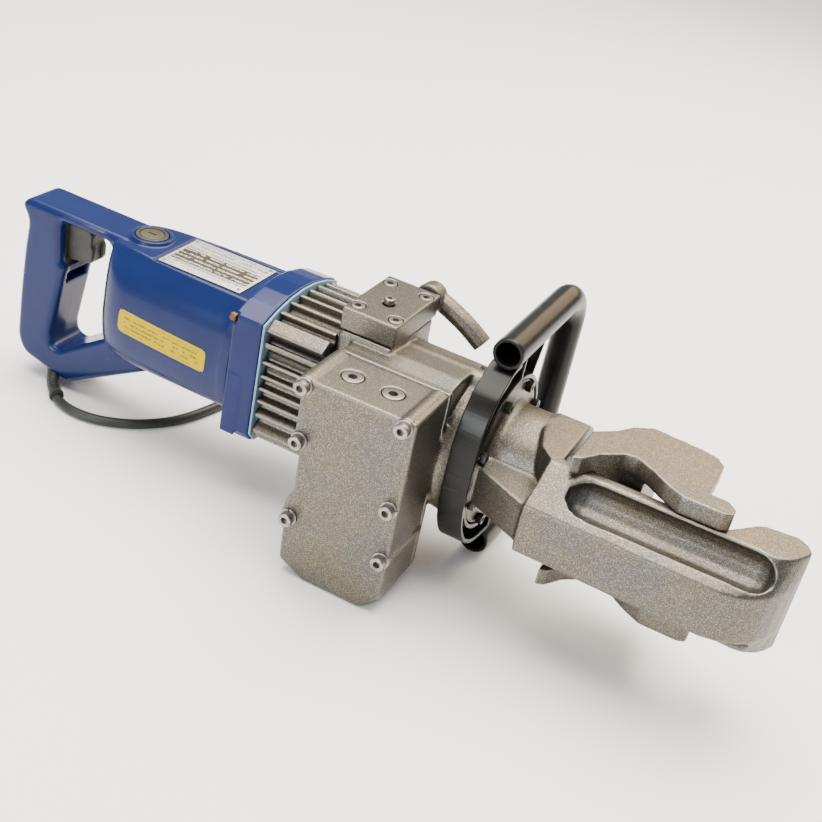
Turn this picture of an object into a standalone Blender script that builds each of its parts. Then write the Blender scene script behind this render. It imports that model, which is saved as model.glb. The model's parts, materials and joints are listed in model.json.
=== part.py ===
"""Portable electro-hydraulic rebar bender, built as an assembly of separate pieces.

Lengths are written in millimetres in the tool's own frame: X runs along the ram
towards the hook, Z is up and the ram's centre line is Y = Z = 0. Every helper turns
them into metres, and the empty "tool_frame" puts the tool on the ground.
"""
import math

import bmesh
import bpy
from mathutils import Vector

MM = 0.001
GAP = 0.3              # clearance between pieces that touch
AXIS_HEIGHT = 93.5     # ram centre line above the ground
CENTRE_X = -38.75      # middle of the whole tool without its cord, so the origin is under it
CENTRE_Y = 6.89

# motor housing with its rear handle
MOTOR_FRONT = -134.0
MOTOR_REAR = -255.6
MOTOR_BORE = 38.0
HANDLE_HALF_WIDTH = 19.0
BRUSH_X = -237.0
BRUSH_BOSS_RADIUS = 15.9
BRUSH_BOSS_TOP = 54.0
# collar and pump case
COLLAR_FRONT = -111.0
PUMP_CASE_REAR = -109.0
PUMP_CASE_FRONT = -65.3
# cylinder
CYLINDER_REAR = -65.0
CYLINDER_RADIUS = 48.0
CYLINDER_BORE = 33.0
CYLINDER_FRONT = 44.7
FLANGE_RADIUS = 52.7
# ram
PISTON_REAR = -55.0
PISTON_FRONT = -37.0
ROD_RADIUS = 18.0
ROD_FRONT = 113.2
# side case, read on its outer face
CASE_OUTER_Y = -98.0
CASE_JOINT_Y = -50.0
CASE_BACK_Y = -45.0
CASE_TOP = 55.0
CASE_BOTTOM = -93.5
# valve block
BLOCK_X = -43.6
BLOCK_HALF_LENGTH = 20.2
BLOCK_HALF_WIDTH = 33.0
BLOCK_BOTTOM = 60.0
BLOCK_TOP = 76.0
# head
HEAD_BACK = 45.0
HEAD_FLANGE_FRONT = 55.0
BOLT_CIRCLE_RADIUS = 48.0
MODELLED_BOLTS = 6
JAW_TOP = 50.0
HOOK_TOP = 37.0
RIM_TOP = 17.0
POCKET_REAR = 118.0
POCKET_FRONT = 250.0
POCKET_END = 15.0
POCKET_RADIUS = 13.0
POCKET_Y = -56.5
POCKET_Z = 27.0
# front handle
TUBE_X = 49.0
TUBE_RADIUS = 10.5
TUBE_BORE = 8.2
TUBE_TOP = 82.0
TUBE_BOTTOM = -83.0
TUBE_FAR_Y = 108.0
BAND_REAR = 37.5
BAND_FRONT = 55.5
# gear pair
GEAR_MODULE = 1.25
PINION_TEETH = 10
GEAR_TEETH = 20
PLUNGER_X = -88.0
GEAR_Y = GEAR_MODULE * (PINION_TEETH + GEAR_TEETH) / 2
# power cord
CORD_RADIUS = 3.75
CORD_Z = -AXIS_HEIGHT + CORD_RADIUS + 0.1
COIL_CENTRE = (-128.0, 135.0)
COIL_INNER = 30.5
COIL_OUTER = 53.5
COIL_HEIGHT = 22.5
RELIEF_ROUTE = ((-317, 0, -72), (-316, -2, -80), (-308, -12, -85.6), (-298, -25, -87.6), (-285.3, -36.3, -88.9))
RELIEF_ROOT_RADIUS = 6.4
RELIEF_TIP_RADIUS = 4.4
CORD_ROUTE = (
    (-284.0, -37.5, CORD_Z), (-272.0, -41.5, CORD_Z), (-260.0, -42.6, CORD_Z), (-247.0, -40.6, CORD_Z),
    (-234.0, -35.0, CORD_Z), (-222.0, -27.0, CORD_Z), (-212.0, -17.0, CORD_Z), (-203.0, -4.5, CORD_Z),
    (-196.5, 10.0, CORD_Z), (-192.0, 26.0, CORD_Z), (-188.5, 43.0, CORD_Z), (-186.5, 60.0, CORD_Z),
    (-185.5, 78.0, CORD_Z), (-185.45, 96.0, CORD_Z), (-185.45, 114.0, CORD_Z), (-185.45, 134.0, CORD_Z),
)

# outlines in the tool's frame, one point for each corner
CASE_OUTLINE = ((-52, 55), (28, 55), (28, -80), (15, -93.5), (-30, -93.5), (-48.5, -84), (-49.5, -58),
                (-53, -50), (-50, -36), (-46, -28), (-47, 4), (-52, 14))
HANDLE_OUTLINE = ((-222, 51), (-335, 52.5), (-341, 47), (-334, 36), (-337, 12), (-339.5, -24), (-341, -64),
                  (-334, -77), (-291, -87), (-212, -43), (-205, -20), (-205, 40))
GRIP_OPENING = ((-258, 38), (-264, 45), (-304, 46), (-303, 11), (-299, 8), (-310, -52), (-308, -60),
                (-299, -62), (-256, -32))
JAW_PLAN = ((113, -53), (119, -50), (127, -37), (140, -25), (147, -24), (159, -30.5), (170, -39), (183, -46),
            (209, -46), (214, -43), (214, -36), (208, -30), (195, -30), (195, 8), (189, 15), (179, 17.5),
            (144.5, 20), (133, 11), (125, -2), (116, -11), (113, -14))
JAW_BLOCK_PLAN = ((113.5, -37.4), (126.7, -37.4), (139.6, -24.6), (147, -23.5), (156, -28.5), (158, -14.5),
                  (194.5, -14.5), (194.5, 7.7), (188.6, 14.4), (179, 17), (144.5, 19.5), (133.4, 10.5),
                  (125.4, -2.4), (116.3, -11.4), (113.5, -14.4))

# ------------------------------------------------------------------ scene and helpers
for existing in list(bpy.data.objects):
    bpy.data.objects.remove(existing, do_unlink=True)

part_collection = bpy.data.collections.new("rebar_bender")
cutter_collection = bpy.data.collections.new("cutters")
for collection in (part_collection, cutter_collection):
    bpy.context.scene.collection.children.link(collection)

tool_frame = bpy.data.objects.new("tool_frame", None)
tool_frame.location = (-CENTRE_X * MM, -CENTRE_Y * MM, AXIS_HEIGHT * MM)
part_collection.objects.link(tool_frame)

ALONG_X = (0, 90, 0)       # turns a piece's own Z axis to +X
ALONG_Y = (-90, 0, 0)      # ... to +Y
AGAINST_Y = (90, 0, 0)     # ... to -Y
ALONG_Z = (0, 0, 0)
AGAINST_Z = (180, 0, 0)
FLAT_XZ = (90, 0, 0)       # an outline's own X and Y read as X and Z
FLAT_YZ = (90, 0, 90)      # an outline's own X and Y read as Y and Z


def make_material(name, colour, roughness, metallic=0.0):
    material = bpy.data.materials.new(name)
    material.use_nodes = True
    shader = material.node_tree.nodes["Principled BSDF"]
    shader.inputs["Base Color"].default_value = (*colour, 1.0)
    shader.inputs["Roughness"].default_value = roughness
    shader.inputs["Metallic"].default_value = metallic
    return material


blue_plastic = make_material("blue_plastic", (0.02, 0.05, 0.21), 0.3)
collar_plastic = make_material("collar_plastic", (0.012, 0.03, 0.18), 0.3)
cast_steel = make_material("cast_steel", (0.42, 0.40, 0.37), 0.42, 0.9)
black_paint = make_material("black_paint", (0.012, 0.012, 0.012), 0.25)
black_plastic = make_material("black_plastic", (0.02, 0.02, 0.018), 0.5)
black_rubber = make_material("black_rubber", (0.015, 0.015, 0.015), 0.6)
bright_steel = make_material("bright_steel", (0.6, 0.6, 0.6), 0.25, 1.0)
zinc = make_material("zinc", (0.5, 0.5, 0.48), 0.35, 1.0)
black_screw = make_material("black_screw", (0.03, 0.03, 0.03), 0.4, 0.8)
copper = make_material("copper", (0.6, 0.25, 0.1), 0.4, 1.0)
brass = make_material("brass", (0.6, 0.42, 0.15), 0.35, 1.0)
carbon = make_material("carbon", (0.03, 0.03, 0.03), 0.8)
gasket_blue = make_material("gasket_blue", (0.3, 0.45, 0.55), 0.6)
label_yellow = make_material("label_yellow", (0.8, 0.65, 0.02), 0.5)
plate_silver = make_material("plate_silver", (0.5, 0.48, 0.42), 0.4, 0.6)


def metres(point):
    return Vector(point) * MM


def register(name, mesh, material, at=(0, 0, 0), turn=(0, 0, 0)):
    """Make a mesh an object of the tool, placed in the tool's frame."""
    mesh.name = name
    mesh.materials.clear()
    mesh.materials.append(material)
    piece = bpy.data.objects.new(name, mesh)
    piece.location = metres(at)
    piece.rotation_euler = [math.radians(angle) for angle in turn]
    piece.parent = tool_frame
    part_collection.objects.link(piece)
    return piece


def smooth(piece, angle=35):
    piece.data.shade_smooth()
    piece.data.set_sharp_from_angle(angle=math.radians(angle))
    return piece


def bevel(piece, width, segments=2, angle=40):
    modifier = piece.modifiers.new("bevel", "BEVEL")
    modifier.width = width * MM
    modifier.segments = segments
    modifier.angle_limit = math.radians(angle)
    return piece


def hide_as_cutter(piece):
    part_collection.objects.unlink(piece)
    cutter_collection.objects.link(piece)
    piece.hide_render = True
    piece.display_type = "WIRE"


def combine(piece, other, operation):
    modifier = piece.modifiers.new(operation.lower(), "BOOLEAN")
    modifier.operation = operation
    modifier.solver = "EXACT"
    modifier.object = other
    if other.name not in cutter_collection.objects:
        hide_as_cutter(other)
    return piece


def join(piece, *others):
    for other in others:
        combine(piece, other, "UNION")
    return piece


def cut(piece, *others):
    for other in others:
        combine(piece, other, "DIFFERENCE")
    return piece


def settle(piece):
    """Fix a cut piece's shape as it is now, with hair-thin slivers welded shut."""
    depsgraph = bpy.context.evaluated_depsgraph_get()
    mesh = bpy.data.meshes.new_from_object(piece.evaluated_get(depsgraph))
    piece.modifiers.clear()
    shape = bmesh.new()
    shape.from_mesh(mesh)
    bmesh.ops.remove_doubles(shape, verts=shape.verts, dist=0.00002)
    bmesh.ops.dissolve_degenerate(shape, edges=shape.edges, dist=0.00002)
    bmesh.ops.holes_fill(shape, edges=[edge for edge in shape.edges if edge.is_boundary])
    shape.to_mesh(mesh)
    shape.free()
    mesh.name = piece.name
    piece.data = mesh
    return piece


def box(name, low, high, material, turn=(0, 0, 0)):
    centre = [(a + b) / 2 for a, b in zip(low, high)]
    mesh = bpy.data.meshes.new(name)
    shape = bmesh.new()
    bmesh.ops.create_cube(shape, size=1.0)
    sizes = Vector([(b - a) * MM for a, b in zip(low, high)])
    bmesh.ops.scale(shape, vec=sizes, verts=shape.verts)
    shape.to_mesh(mesh)
    shape.free()
    return register(name, mesh, material, centre, turn)


def rod(name, start, turn, length, radius, material, end_radius=None, sides=32):
    """A cylinder or cone from start, along the turned Z axis."""
    mesh = bpy.data.meshes.new(name)
    shape = bmesh.new()
    bmesh.ops.create_cone(shape, cap_ends=True, segments=sides, radius1=radius * MM,
                          radius2=(radius if end_radius is None else end_radius) * MM, depth=length * MM)
    bmesh.ops.translate(shape, vec=(0, 0, length * MM / 2), verts=shape.verts)
    shape.to_mesh(mesh)
    shape.free()
    return smooth(register(name, mesh, material, start, turn))


def turned(name, start, turn, profile, material, sides=32, closed=False):
    """A profile of (along, radius) points, first to last outside from the far end, turned about its axis."""
    mesh = bpy.data.meshes.new(name)
    shape = bmesh.new()
    points = [shape.verts.new((radius * MM, 0, along * MM)) for along, radius in profile]
    for first, second in zip(points, points[1:]):
        shape.edges.new((first, second))
    if closed:
        shape.edges.new((points[-1], points[0]))
    shape.to_mesh(mesh)
    shape.free()
    piece = register(name, mesh, material, start, turn)
    screw = piece.modifiers.new("turn", "SCREW")
    screw.steps = sides
    screw.render_steps = sides
    screw.use_merge_vertices = True
    screw.merge_threshold = 0.00001
    screw.use_smooth_shade = False
    return piece


def tube_ring(name, start, turn, length, outer, inner, material, sides=32):
    profile = ((length, inner), (length, outer), (0, outer), (0, inner))
    return turned(name, start, turn, profile, material, sides, closed=True)


def mesh_from_curve(name, curve, material, at, turn):
    """A curve's own surface as a closed mesh, with its caps welded on."""
    guide = bpy.data.objects.new(name + "_curve", curve)
    part_collection.objects.link(guide)
    depsgraph = bpy.context.evaluated_depsgraph_get()
    mesh = bpy.data.meshes.new_from_object(guide.evaluated_get(depsgraph))
    bpy.data.objects.remove(guide, do_unlink=True)
    shape = bmesh.new()
    shape.from_mesh(mesh)
    bmesh.ops.remove_doubles(shape, verts=shape.verts, dist=0.00001)
    bmesh.ops.recalc_face_normals(shape, faces=shape.faces)
    shape.to_mesh(mesh)
    shape.free()
    return register(name, mesh, material, at, turn)


def plate(name, outline, low, high, material, turn=ALONG_Z, hole=None):
    """A flat outline as thick as low to high along its own Z axis, with a hole through it where one is given."""
    curve = bpy.data.curves.new(name, "CURVE")
    curve.dimensions = "2D"
    curve.fill_mode = "BOTH"
    curve.extrude = (high - low) / 2 * MM
    for loop in (outline, hole) if hole else (outline,):
        spline = curve.splines.new("POLY")
        spline.points.add(len(loop) - 1)
        for point, (x, y) in zip(spline.points, loop):
            point.co = (x * MM, y * MM, 0, 1)
        spline.use_cyclic_u = True
    middle = (low + high) / 2
    offsets = {ALONG_Z: (0, 0, middle), FLAT_XZ: (0, -middle, 0), FLAT_YZ: (middle, 0, 0)}
    return mesh_from_curve(name, curve, material, offsets[turn], turn)


def wire(name, points, radius, material, resolution=2):
    """A round bar along points, on one POLY spline with filled caps."""
    curve = bpy.data.curves.new(name, "CURVE")
    curve.dimensions = "3D"
    curve.bevel_depth = radius * MM
    curve.bevel_resolution = resolution
    curve.use_fill_caps = True
    spline = curve.splines.new("POLY")
    spline.points.add(len(points) - 1)
    for point, place in zip(spline.points, points):
        point.co = (*metres(place), 1)
    return mesh_from_curve(name, curve, material, (0, 0, 0), (0, 0, 0))


def loft(name, rings, material):
    """A closed skin over rings of equally many points, capped at both ends."""
    mesh = bpy.data.meshes.new(name)
    shape = bmesh.new()
    rows = [[shape.verts.new(metres(point)) for point in ring] for ring in rings]
    count = len(rows[0])
    for lower, upper in zip(rows, rows[1:]):
        for i in range(count):
            shape.faces.new((lower[i], lower[(i + 1) % count], upper[(i + 1) % count], upper[i]))
    shape.faces.new(rows[0])
    shape.faces.new(rows[-1])
    bmesh.ops.recalc_face_normals(shape, faces=shape.faces)
    shape.to_mesh(mesh)
    shape.free()
    return register(name, mesh, material)


def smooth_path(points, per_span):
    """Catmull-Rom points through the given ones."""
    path = []
    ends = [points[0], *points, points[-1]]
    for p0, p1, p2, p3 in zip(ends, ends[1:], ends[2:], ends[3:]):
        a, b, c, d = (Vector(p) for p in (p0, p1, p2, p3))
        for step in range(per_span):
            t = step / per_span
            path.append(0.5 * (2 * b + (c - a) * t + (2 * a - 5 * b + 4 * c - d) * t * t
                               + (3 * b - a - 3 * c + d) * t ** 3))
    path.append(Vector(points[-1]))
    return path


def socket_screw(name, at, turn, head_radius, head_height, material, shank_radius=0.0, shank=0.0, sides=12):
    """A cap screw that points its head along the turned Z axis, with a hexagon socket."""
    profile = [(head_height, 0), (head_height, head_radius), (0, head_radius)]
    if shank:
        profile += [(0, shank_radius), (-shank, shank_radius), (-shank, 0)]
    else:
        profile += [(0, 0)]
    screw = turned(name, at, turn, profile, material, sides)
    depth = head_height * 0.55
    hexagon = rod(name + "_socket", (0, 0, 0), (0, 0, 0), depth + 1, head_radius * 0.52, material, sides=6)
    hexagon.parent = screw
    hexagon.location = (0, 0, (head_height - depth) * MM)
    return cut(screw, hexagon)


# ------------------------------------------------------------------ motor housing
def motor_section(x, half_top, half_side, bottom=-44.0, top=51.0):
    shoulder = half_top + (half_side - half_top) * 0.72
    half = [(0, top), (half_top, top), (shoulder, 36), (half_side, 12), (half_side, -12),
            (half_side * 0.84, -30), (half_side * 0.46, bottom + 2)]
    ring = half + [(0, bottom)] + [(-y, z) for y, z in reversed(half[1:])]
    return [(x, y, z) for y, z in ring]


def make_housing(name, side):
    body = loft(name + "_motor", [motor_section(MOTOR_FRONT, 30, 48), motor_section(-180, 29, 47.4),
                                  motor_section(-228, 26, 45.5), motor_section(-244, 23, 39, -41),
                                  motor_section(-252, 20.5, 31, -38), motor_section(MOTOR_REAR, 18, 25, -34)],
                blue_plastic)
    handle = plate(name, HANDLE_OUTLINE, -HANDLE_HALF_WIDTH, HANDLE_HALF_WIDTH, blue_plastic, FLAT_XZ,
                   GRIP_OPENING)
    bevel(handle, 3.5, 1)
    for sign in (1, -1):
        tag = "top" if sign > 0 else "bottom"
        turn = ALONG_Z if sign > 0 else AGAINST_Z
        boss = rod(f"{name}_boss_{tag}", (BRUSH_X, 0, 30 * sign), turn,
                   (BRUSH_BOSS_TOP if sign > 0 else 46) - 30, BRUSH_BOSS_RADIUS, blue_plastic)
        join(body, boss)
    motor_hollow = turned(name + "_hollow", (-247, 0, 0), ALONG_X,
                          ((120, 0), (120, MOTOR_BORE), (25, MOTOR_BORE), (20, 28), (0, 28), (0, 0)), blue_plastic)
    switch_hollow = box(name + "_switch_hollow", (-333, -12, -6), (-300, 12, 42.5), blue_plastic)
    lead_way = rod(name + "_lead_way", (-318, 0, -70), ALONG_Z, 70, 6, blue_plastic, sides=16)
    gland_way = wire(name + "_gland_way", smooth_path([(-317, 0, -66), *RELIEF_ROUTE], 2), RELIEF_ROOT_RADIUS + 1,
                     blue_plastic, 2)
    plate_recess = box(name + "_plate_recess", (-216, -26, 49.4), (-130, 26, 60), blue_plastic)
    join(handle, body)
    cut(handle, motor_hollow, switch_hollow, lead_way, gland_way, plate_recess)
    for sign in (1, -1):
        tag = "top" if sign > 0 else "bottom"
        turn = ALONG_Z if sign > 0 else AGAINST_Z
        holder_way = rod(f"{name}_brush_way_{tag}", (BRUSH_X, 0, 20 * sign), turn, 45, 9.3, blue_plastic)
        cap_seat = rod(f"{name}_cap_seat_{tag}", (BRUSH_X, 0, (49.5 if sign > 0 else 41.5) * sign), turn,
                       20, 12.3, blue_plastic)
        cut(handle, holder_way, cap_seat)
    for slot in range(6):
        z = 26 - slot * 9.5
        for edge in (-1, 1):
            vent = box(f"{name}_vent_{slot}_{edge}", (-262, 17 * edge - 5, z - 2), (-246, 17 * edge + 5, z + 2),
                       blue_plastic)
            cut(handle, vent)
    far_side = box(name + "_far_side", (-400, -0.15 if side > 0 else -80, -150),
                   (0, 80 if side > 0 else 0.15, 150), blue_plastic)
    cut(handle, far_side)
    return settle(handle)


make_housing("handle_shell_left", 1)
make_housing("handle_shell_right", -1)


def make_brush_gear():
    for tag, turn, sign, seat in (("top", ALONG_Z, 1, 49.8), ("bottom", AGAINST_Z, -1, 41.8)):
        cap = turned("brush_cap_" + tag, (BRUSH_X, 0, seat * sign), turn,
                     ((4.4, 0), (4.4, 10.2), (3.4, 12), (0, 12), (0, 0)), black_plastic, 28)
        slot = box("brush_cap_slot_" + tag, (-5.2, -0.9, 3.0), (5.2, 0.9, 6), black_plastic)
        slot.parent = cap
        cut(cap, slot)
        holder = tube_ring("brush_holder_" + tag, (BRUSH_X, 0, 27 * sign), turn, seat - 27.3, 9, 5.2, brass, 20)
        smooth(holder)
        box("carbon_brush_" + tag, (BRUSH_X - 3.2, -3.2, min(17.5 * sign, (seat - 6) * sign)),
            (BRUSH_X + 3.2, 3.2, max(17.5 * sign, (seat - 6) * sign)), carbon)


make_brush_gear()


def make_switch():
    body = box("switch_body", (-332, -11.5, -5), (-311.3, 11.5, 42), black_plastic)
    bevel(body, 1)
    trigger = plate("trigger", ((-311 + 7, 12.4), (-284, 14.5), (-281.5, 17), (-281.5, 36), (-285, 40), (-304, 41.5)),
                    -8.5, 8.5, black_plastic, FLAT_XZ)
    return bevel(trigger, 2, 2, 60)


make_switch()


def make_labels():
    name_plate = box("nameplate", (-214, -24, 49.7), (-146, 24, 50.5), plate_silver)
    bevel(name_plate, 0.25, 1)
    label = box("rating_label", (-227.5, -47.7, -4.3), (-150.5, -47.1, 12.7), label_yellow, (0, 2.3, -1.9))
    return label


make_labels()


# ------------------------------------------------------------------ motor insides
def gear_outline(teeth, module, phase):
    """Straight-sided teeth with room for backlash."""
    pitch_radius = module * teeth / 2
    points = []
    for tooth in range(teeth):
        centre = phase + 2 * math.pi * tooth / teeth
        step = 2 * math.pi / teeth
        for share, radius in ((-0.31, pitch_radius - 1.2 * module), (-0.12, pitch_radius + 0.85 * module),
                              (0.12, pitch_radius + 0.85 * module), (0.31, pitch_radius - 1.2 * module)):
            angle = centre + share * step
            points.append((radius * math.cos(angle), radius * math.sin(angle)))
    return points


def make_motor():
    stator = tube_ring("stator", (-215, 0, 0), ALONG_X, 66, 37.4, 25.5, cast_steel, 28)
    smooth(stator)
    armature = turned("armature", (-247, 0, 0), ALONG_X,
                      ((149, 0), (149, 4), (125, 4), (125, 5), (96, 5), (96, 24.8), (36, 24.8), (36, 12), (30, 12),
                       (30, 17), (4, 17), (4, 5), (0.5, 5), (0.5, 0)), bright_steel, 24)
    pinion = plate("armature_pinion", gear_outline(PINION_TEETH, GEAR_MODULE, math.pi / PINION_TEETH),
                   -106.5, -98, bright_steel, FLAT_YZ)
    join(smooth(armature), pinion)
    fan = tube_ring("fan", (-146.5, 0, 0), ALONG_X, 3, 34, 5.3, black_plastic, 24)
    for blade in range(9):
        vane = box(f"fan_blade_{blade}", (-144, 8, -0.8), (-137, 33, 0.8), black_plastic)
        turn = blade * 2 * math.pi / 9
        vane.location = metres((-140.5, 20.5 * math.cos(turn), 20.5 * math.sin(turn)))
        vane.rotation_euler = (turn, 0, 0)
        join(fan, vane)
    tube_ring("rear_bearing", (-246.7, 0, 0), ALONG_X, 3.2, 13, 5.3, bright_steel, 20)
    tube_ring("front_bearing", (-130.7, 0, 0), ALONG_X, 9, 13, 5.3, bright_steel, 20)


make_motor()


# ------------------------------------------------------------------ collar, gasket, pump case
def shell_outline(inset, steps=6):
    """The motor collar's outline: a rounded square under a low arch."""
    side = 50 - inset
    top = 49 - inset * 0.6
    bottom = -46 + inset
    crest = 60 - inset
    points = [(side, top)]
    for i in range(1, steps):
        y = side * (1 - 2 * i / steps)
        points.append((y, top + (crest - top) * (1 - (y / side) ** 2)))
    points += [(-side, top), (-side, bottom + 8), (-side + 7, bottom), (-side / 3, bottom - 1), (side / 3, bottom - 1),
               (side - 7, bottom), (side, bottom + 8)]
    return points


def on_outline(angle, outline):
    """Where a ray from the centre meets an outline."""
    direction = Vector((math.cos(angle), math.sin(angle)))
    best = None
    for a, b in zip(outline, [*outline[1:], outline[0]]):
        start, edge = Vector(a), Vector(b) - Vector(a)
        spread = direction.x * edge.y - direction.y * edge.x
        if abs(spread) < 1e-9:
            continue
        reach = (start.x * edge.y - start.y * edge.x) / spread
        share = (start.x * direction.y - start.y * direction.x) / spread
        if reach > 0 and -1e-6 <= share <= 1 + 1e-6 and (best is None or reach < best):
            best = reach
    return direction * best


def finned_outline():
    """Cooling fins that stand on the outline, closed up to solid columns at its corners."""
    tips, valleys = shell_outline(2.2), shell_outline(9.0)
    points = []
    fins = 30
    for fin in range(fins):
        centre = 2 * math.pi * fin / fins
        column = abs((math.degrees(centre) % 90) - 45) < 8
        width = (0.5 if column else 0.17) * 2 * math.pi / fins
        for share, outline in ((-1, valleys), (-0.75, tips), (0.75, tips), (1, valleys)):
            angle = centre + share * width
            points.append(tuple(on_outline(angle, outline)))
    return points


def make_pump_end():
    collar = plate("motor_collar", shell_outline(0), MOTOR_FRONT + GAP, COLLAR_FRONT, collar_plastic, FLAT_YZ)
    bevel(collar, 1.2, 1, 50)
    rear_room = rod("collar_rear_room", (-140, 0, 0), ALONG_X, 9, 36, collar_plastic)
    bearing_seat = rod("collar_bearing_seat", (-140, 0, 0), ALONG_X, 18.6, 13.3, collar_plastic)
    shaft_way = rod("collar_shaft_way", (-140, 0, 0), ALONG_X, 40, 9.5, collar_plastic)
    cut(collar, rear_room, bearing_seat, shaft_way)
    gasket = plate("collar_gasket", shell_outline(1.0), COLLAR_FRONT + GAP, PUMP_CASE_REAR - GAP, gasket_blue, FLAT_YZ)
    cut(gasket, rod("gasket_bore", (-120, 0, 0), ALONG_X, 20, 34, gasket_blue))
    case = plate("pump_case", finned_outline(), PUMP_CASE_REAR, PUMP_CASE_FRONT, cast_steel, FLAT_YZ)
    gear_room = rod("pump_gear_room", (-115, 0, 0), ALONG_X, 36.3, 34, cast_steel)
    barrel = rod("pump_barrel", (PLUNGER_X, -16, 0), AGAINST_Y, 22, 9.0, cast_steel, sides=20)
    plunger_way = rod("pump_plunger_way", (PLUNGER_X, -5, 0), AGAINST_Y, 34, 5.6, cast_steel, sides=20)
    axle_seat = rod("pump_axle_seat", (-85, GEAR_Y, 0), ALONG_X, 12, 4.5, cast_steel, sides=20)
    cut(case, gear_room)
    join(case, barrel)
    cut(case, plunger_way, axle_seat)
    gear = plate("drive_gear", gear_outline(GEAR_TEETH, GEAR_MODULE, 0.0), -106, -98.5, bright_steel, FLAT_YZ)
    gear.location = metres((-102.25, GEAR_Y, 0))
    eccentric = rod("gear_eccentric", (-98.6, GEAR_Y + 3, 0), ALONG_X, 14, 7, bright_steel, sides=24)
    stub = rod("gear_stub", (-99, GEAR_Y, 0), ALONG_X, 24, 4.2, bright_steel, sides=20)
    join(gear, eccentric, stub)
    turned("pump_piston", (PLUNGER_X, 8.4, 0), AGAINST_Y,
           ((38, 0), (38, 5.3), (8, 5.3), (8, 7.5), (5, 7.5), (0, 5.3), (0, 0)), bright_steel, 24)
    turns, radius = 3, 7.6
    coil = [(PLUNGER_X + radius * math.cos(a), 0.0, radius * math.sin(a))
            for a in [2 * math.pi * i / 10 for i in range(turns * 10 + 1)]]
    start, end = -1.0, -14.8
    points = [(x, start + (end - start) * i / (len(coil) - 1), z) for i, (x, _, z) in enumerate(coil)]
    wire("pump_spring", points, 0.9, zinc)


make_pump_end()


# ------------------------------------------------------------------ cylinder, side case and valve block
def bolt_circle():
    """Where the eight flange bolts stand, in Y and Z, from the top round over the near side."""
    angles = [math.radians(112.5 + 45 * number) for number in range(8)]
    return [(BOLT_CIRCLE_RADIUS * math.cos(angle), BOLT_CIRCLE_RADIUS * math.sin(angle)) for angle in angles]


def make_cylinder():
    length = CYLINDER_FRONT - CYLINDER_REAR
    body = turned("cylinder_body", (CYLINDER_REAR, 0, 0), ALONG_X,
                  ((15, 0), (15, 20), (length, 20), (length, FLANGE_RADIUS), (length - 12, FLANGE_RADIUS),
                   (length - 15.5, CYLINDER_RADIUS), (0, CYLINDER_RADIUS), (0, 0)), cast_steel, 40)
    pad = box("cylinder_pad", (BLOCK_X - 19.5, -35, 20), (BLOCK_X + 19.5, 31, BLOCK_BOTTOM - GAP), cast_steel)
    bevel(pad, 2)
    saddle = plate("cylinder_saddle", ((-46, 54.7), (-30, 57), (5, 54), (30, 40), (30, 35), (-46, 35)),
                   -52, 27, cast_steel, FLAT_YZ)
    ridge = rod("cylinder_ridge", (-40, -8, 46.5), ALONG_X, 76, 9.5, cast_steel, sides=24)
    face = plate("cylinder_case_face", CASE_OUTLINE, 45, -CASE_JOINT_Y - GAP, cast_steel, FLAT_XZ)
    web = box("cylinder_web", (-46, -47, -40), (24, -22, 50), cast_steel)
    join(body, pad, saddle, ridge, face, web)
    bore = rod("cylinder_bore", (CYLINDER_REAR + 8, 0, 0), ALONG_X, 120, CYLINDER_BORE, cast_steel, sides=40)
    oil_way = rod("cylinder_oil_way", (-30, -52, 10), ALONG_Y, 30, 5, cast_steel, sides=16)
    lever_seat = rod("cylinder_block_way", (-36, 3.2, 70), AGAINST_Z, 50, 4, cast_steel, sides=14)
    cut(body, bore, oil_way, lever_seat)
    for number, (y, z) in enumerate(bolt_circle()):
        cut(body, rod(f"cylinder_bolt_way_{number}", (36, y, z), ALONG_X, 20, 2.6, cast_steel, sides=8))
    return settle(body)


make_cylinder()


def make_side_case():
    case = plate("reservoir_case", CASE_OUTLINE, -CASE_JOINT_Y, -CASE_OUTER_Y, cast_steel, FLAT_XZ)
    bevel(case, 1.5, 1, 50)
    room = box("reservoir_room", (-40, -91, -86), (21, -49, 45), cast_steel)
    cut(case, room)
    plugs = ((-29.8, "1"), (-0.9, "2"))
    for x, tag in plugs:
        seat = rod("oil_plug_seat_" + tag, (x, -73.6, CASE_TOP - 6), ALONG_Z, 10, 7.7, cast_steel, sides=20)
        bore = rod("oil_plug_bore_" + tag, (x, -73.6, CASE_TOP - 16), ALONG_Z, 20, 5, cast_steel, sides=16)
        cut(case, seat, bore)
        socket_screw("oil_plug_" + tag, (x, -73.6, CASE_TOP - 5.7), ALONG_Z, 7.2, 5.5, zinc, sides=20)
    bladder = box("oil_bladder", (-36, -88, -82), (13, -55, 30), black_rubber)
    bevel(bladder, 6, 2)
    screws = ((-49.7, 50.7), (20.6, 50.7), (-47.2, 11.3), (22, -9.4), (-45.4, -48.1), (23.7, -48.8))
    for number, (x, z) in enumerate(screws, 1):
        lug = rod(f"case_lug_{number}", (x, CASE_JOINT_Y - 1, z), AGAINST_Y, CASE_JOINT_Y - CASE_OUTER_Y - 1.2,
                  6.2, cast_steel, sides=12)
        join(case, lug)
    for number, (x, z) in enumerate(screws, 1):
        way = rod(f"case_screw_way_{number}", (x, CASE_OUTER_Y + 12, z), AGAINST_Y, 20, 2.9, cast_steel, sides=10)
        cut(case, way)
        socket_screw(f"case_screw_{number}", (x, CASE_OUTER_Y - GAP, z), AGAINST_Y, 5.0, 6.4, zinc, 2.5, 10)


make_side_case()


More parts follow.
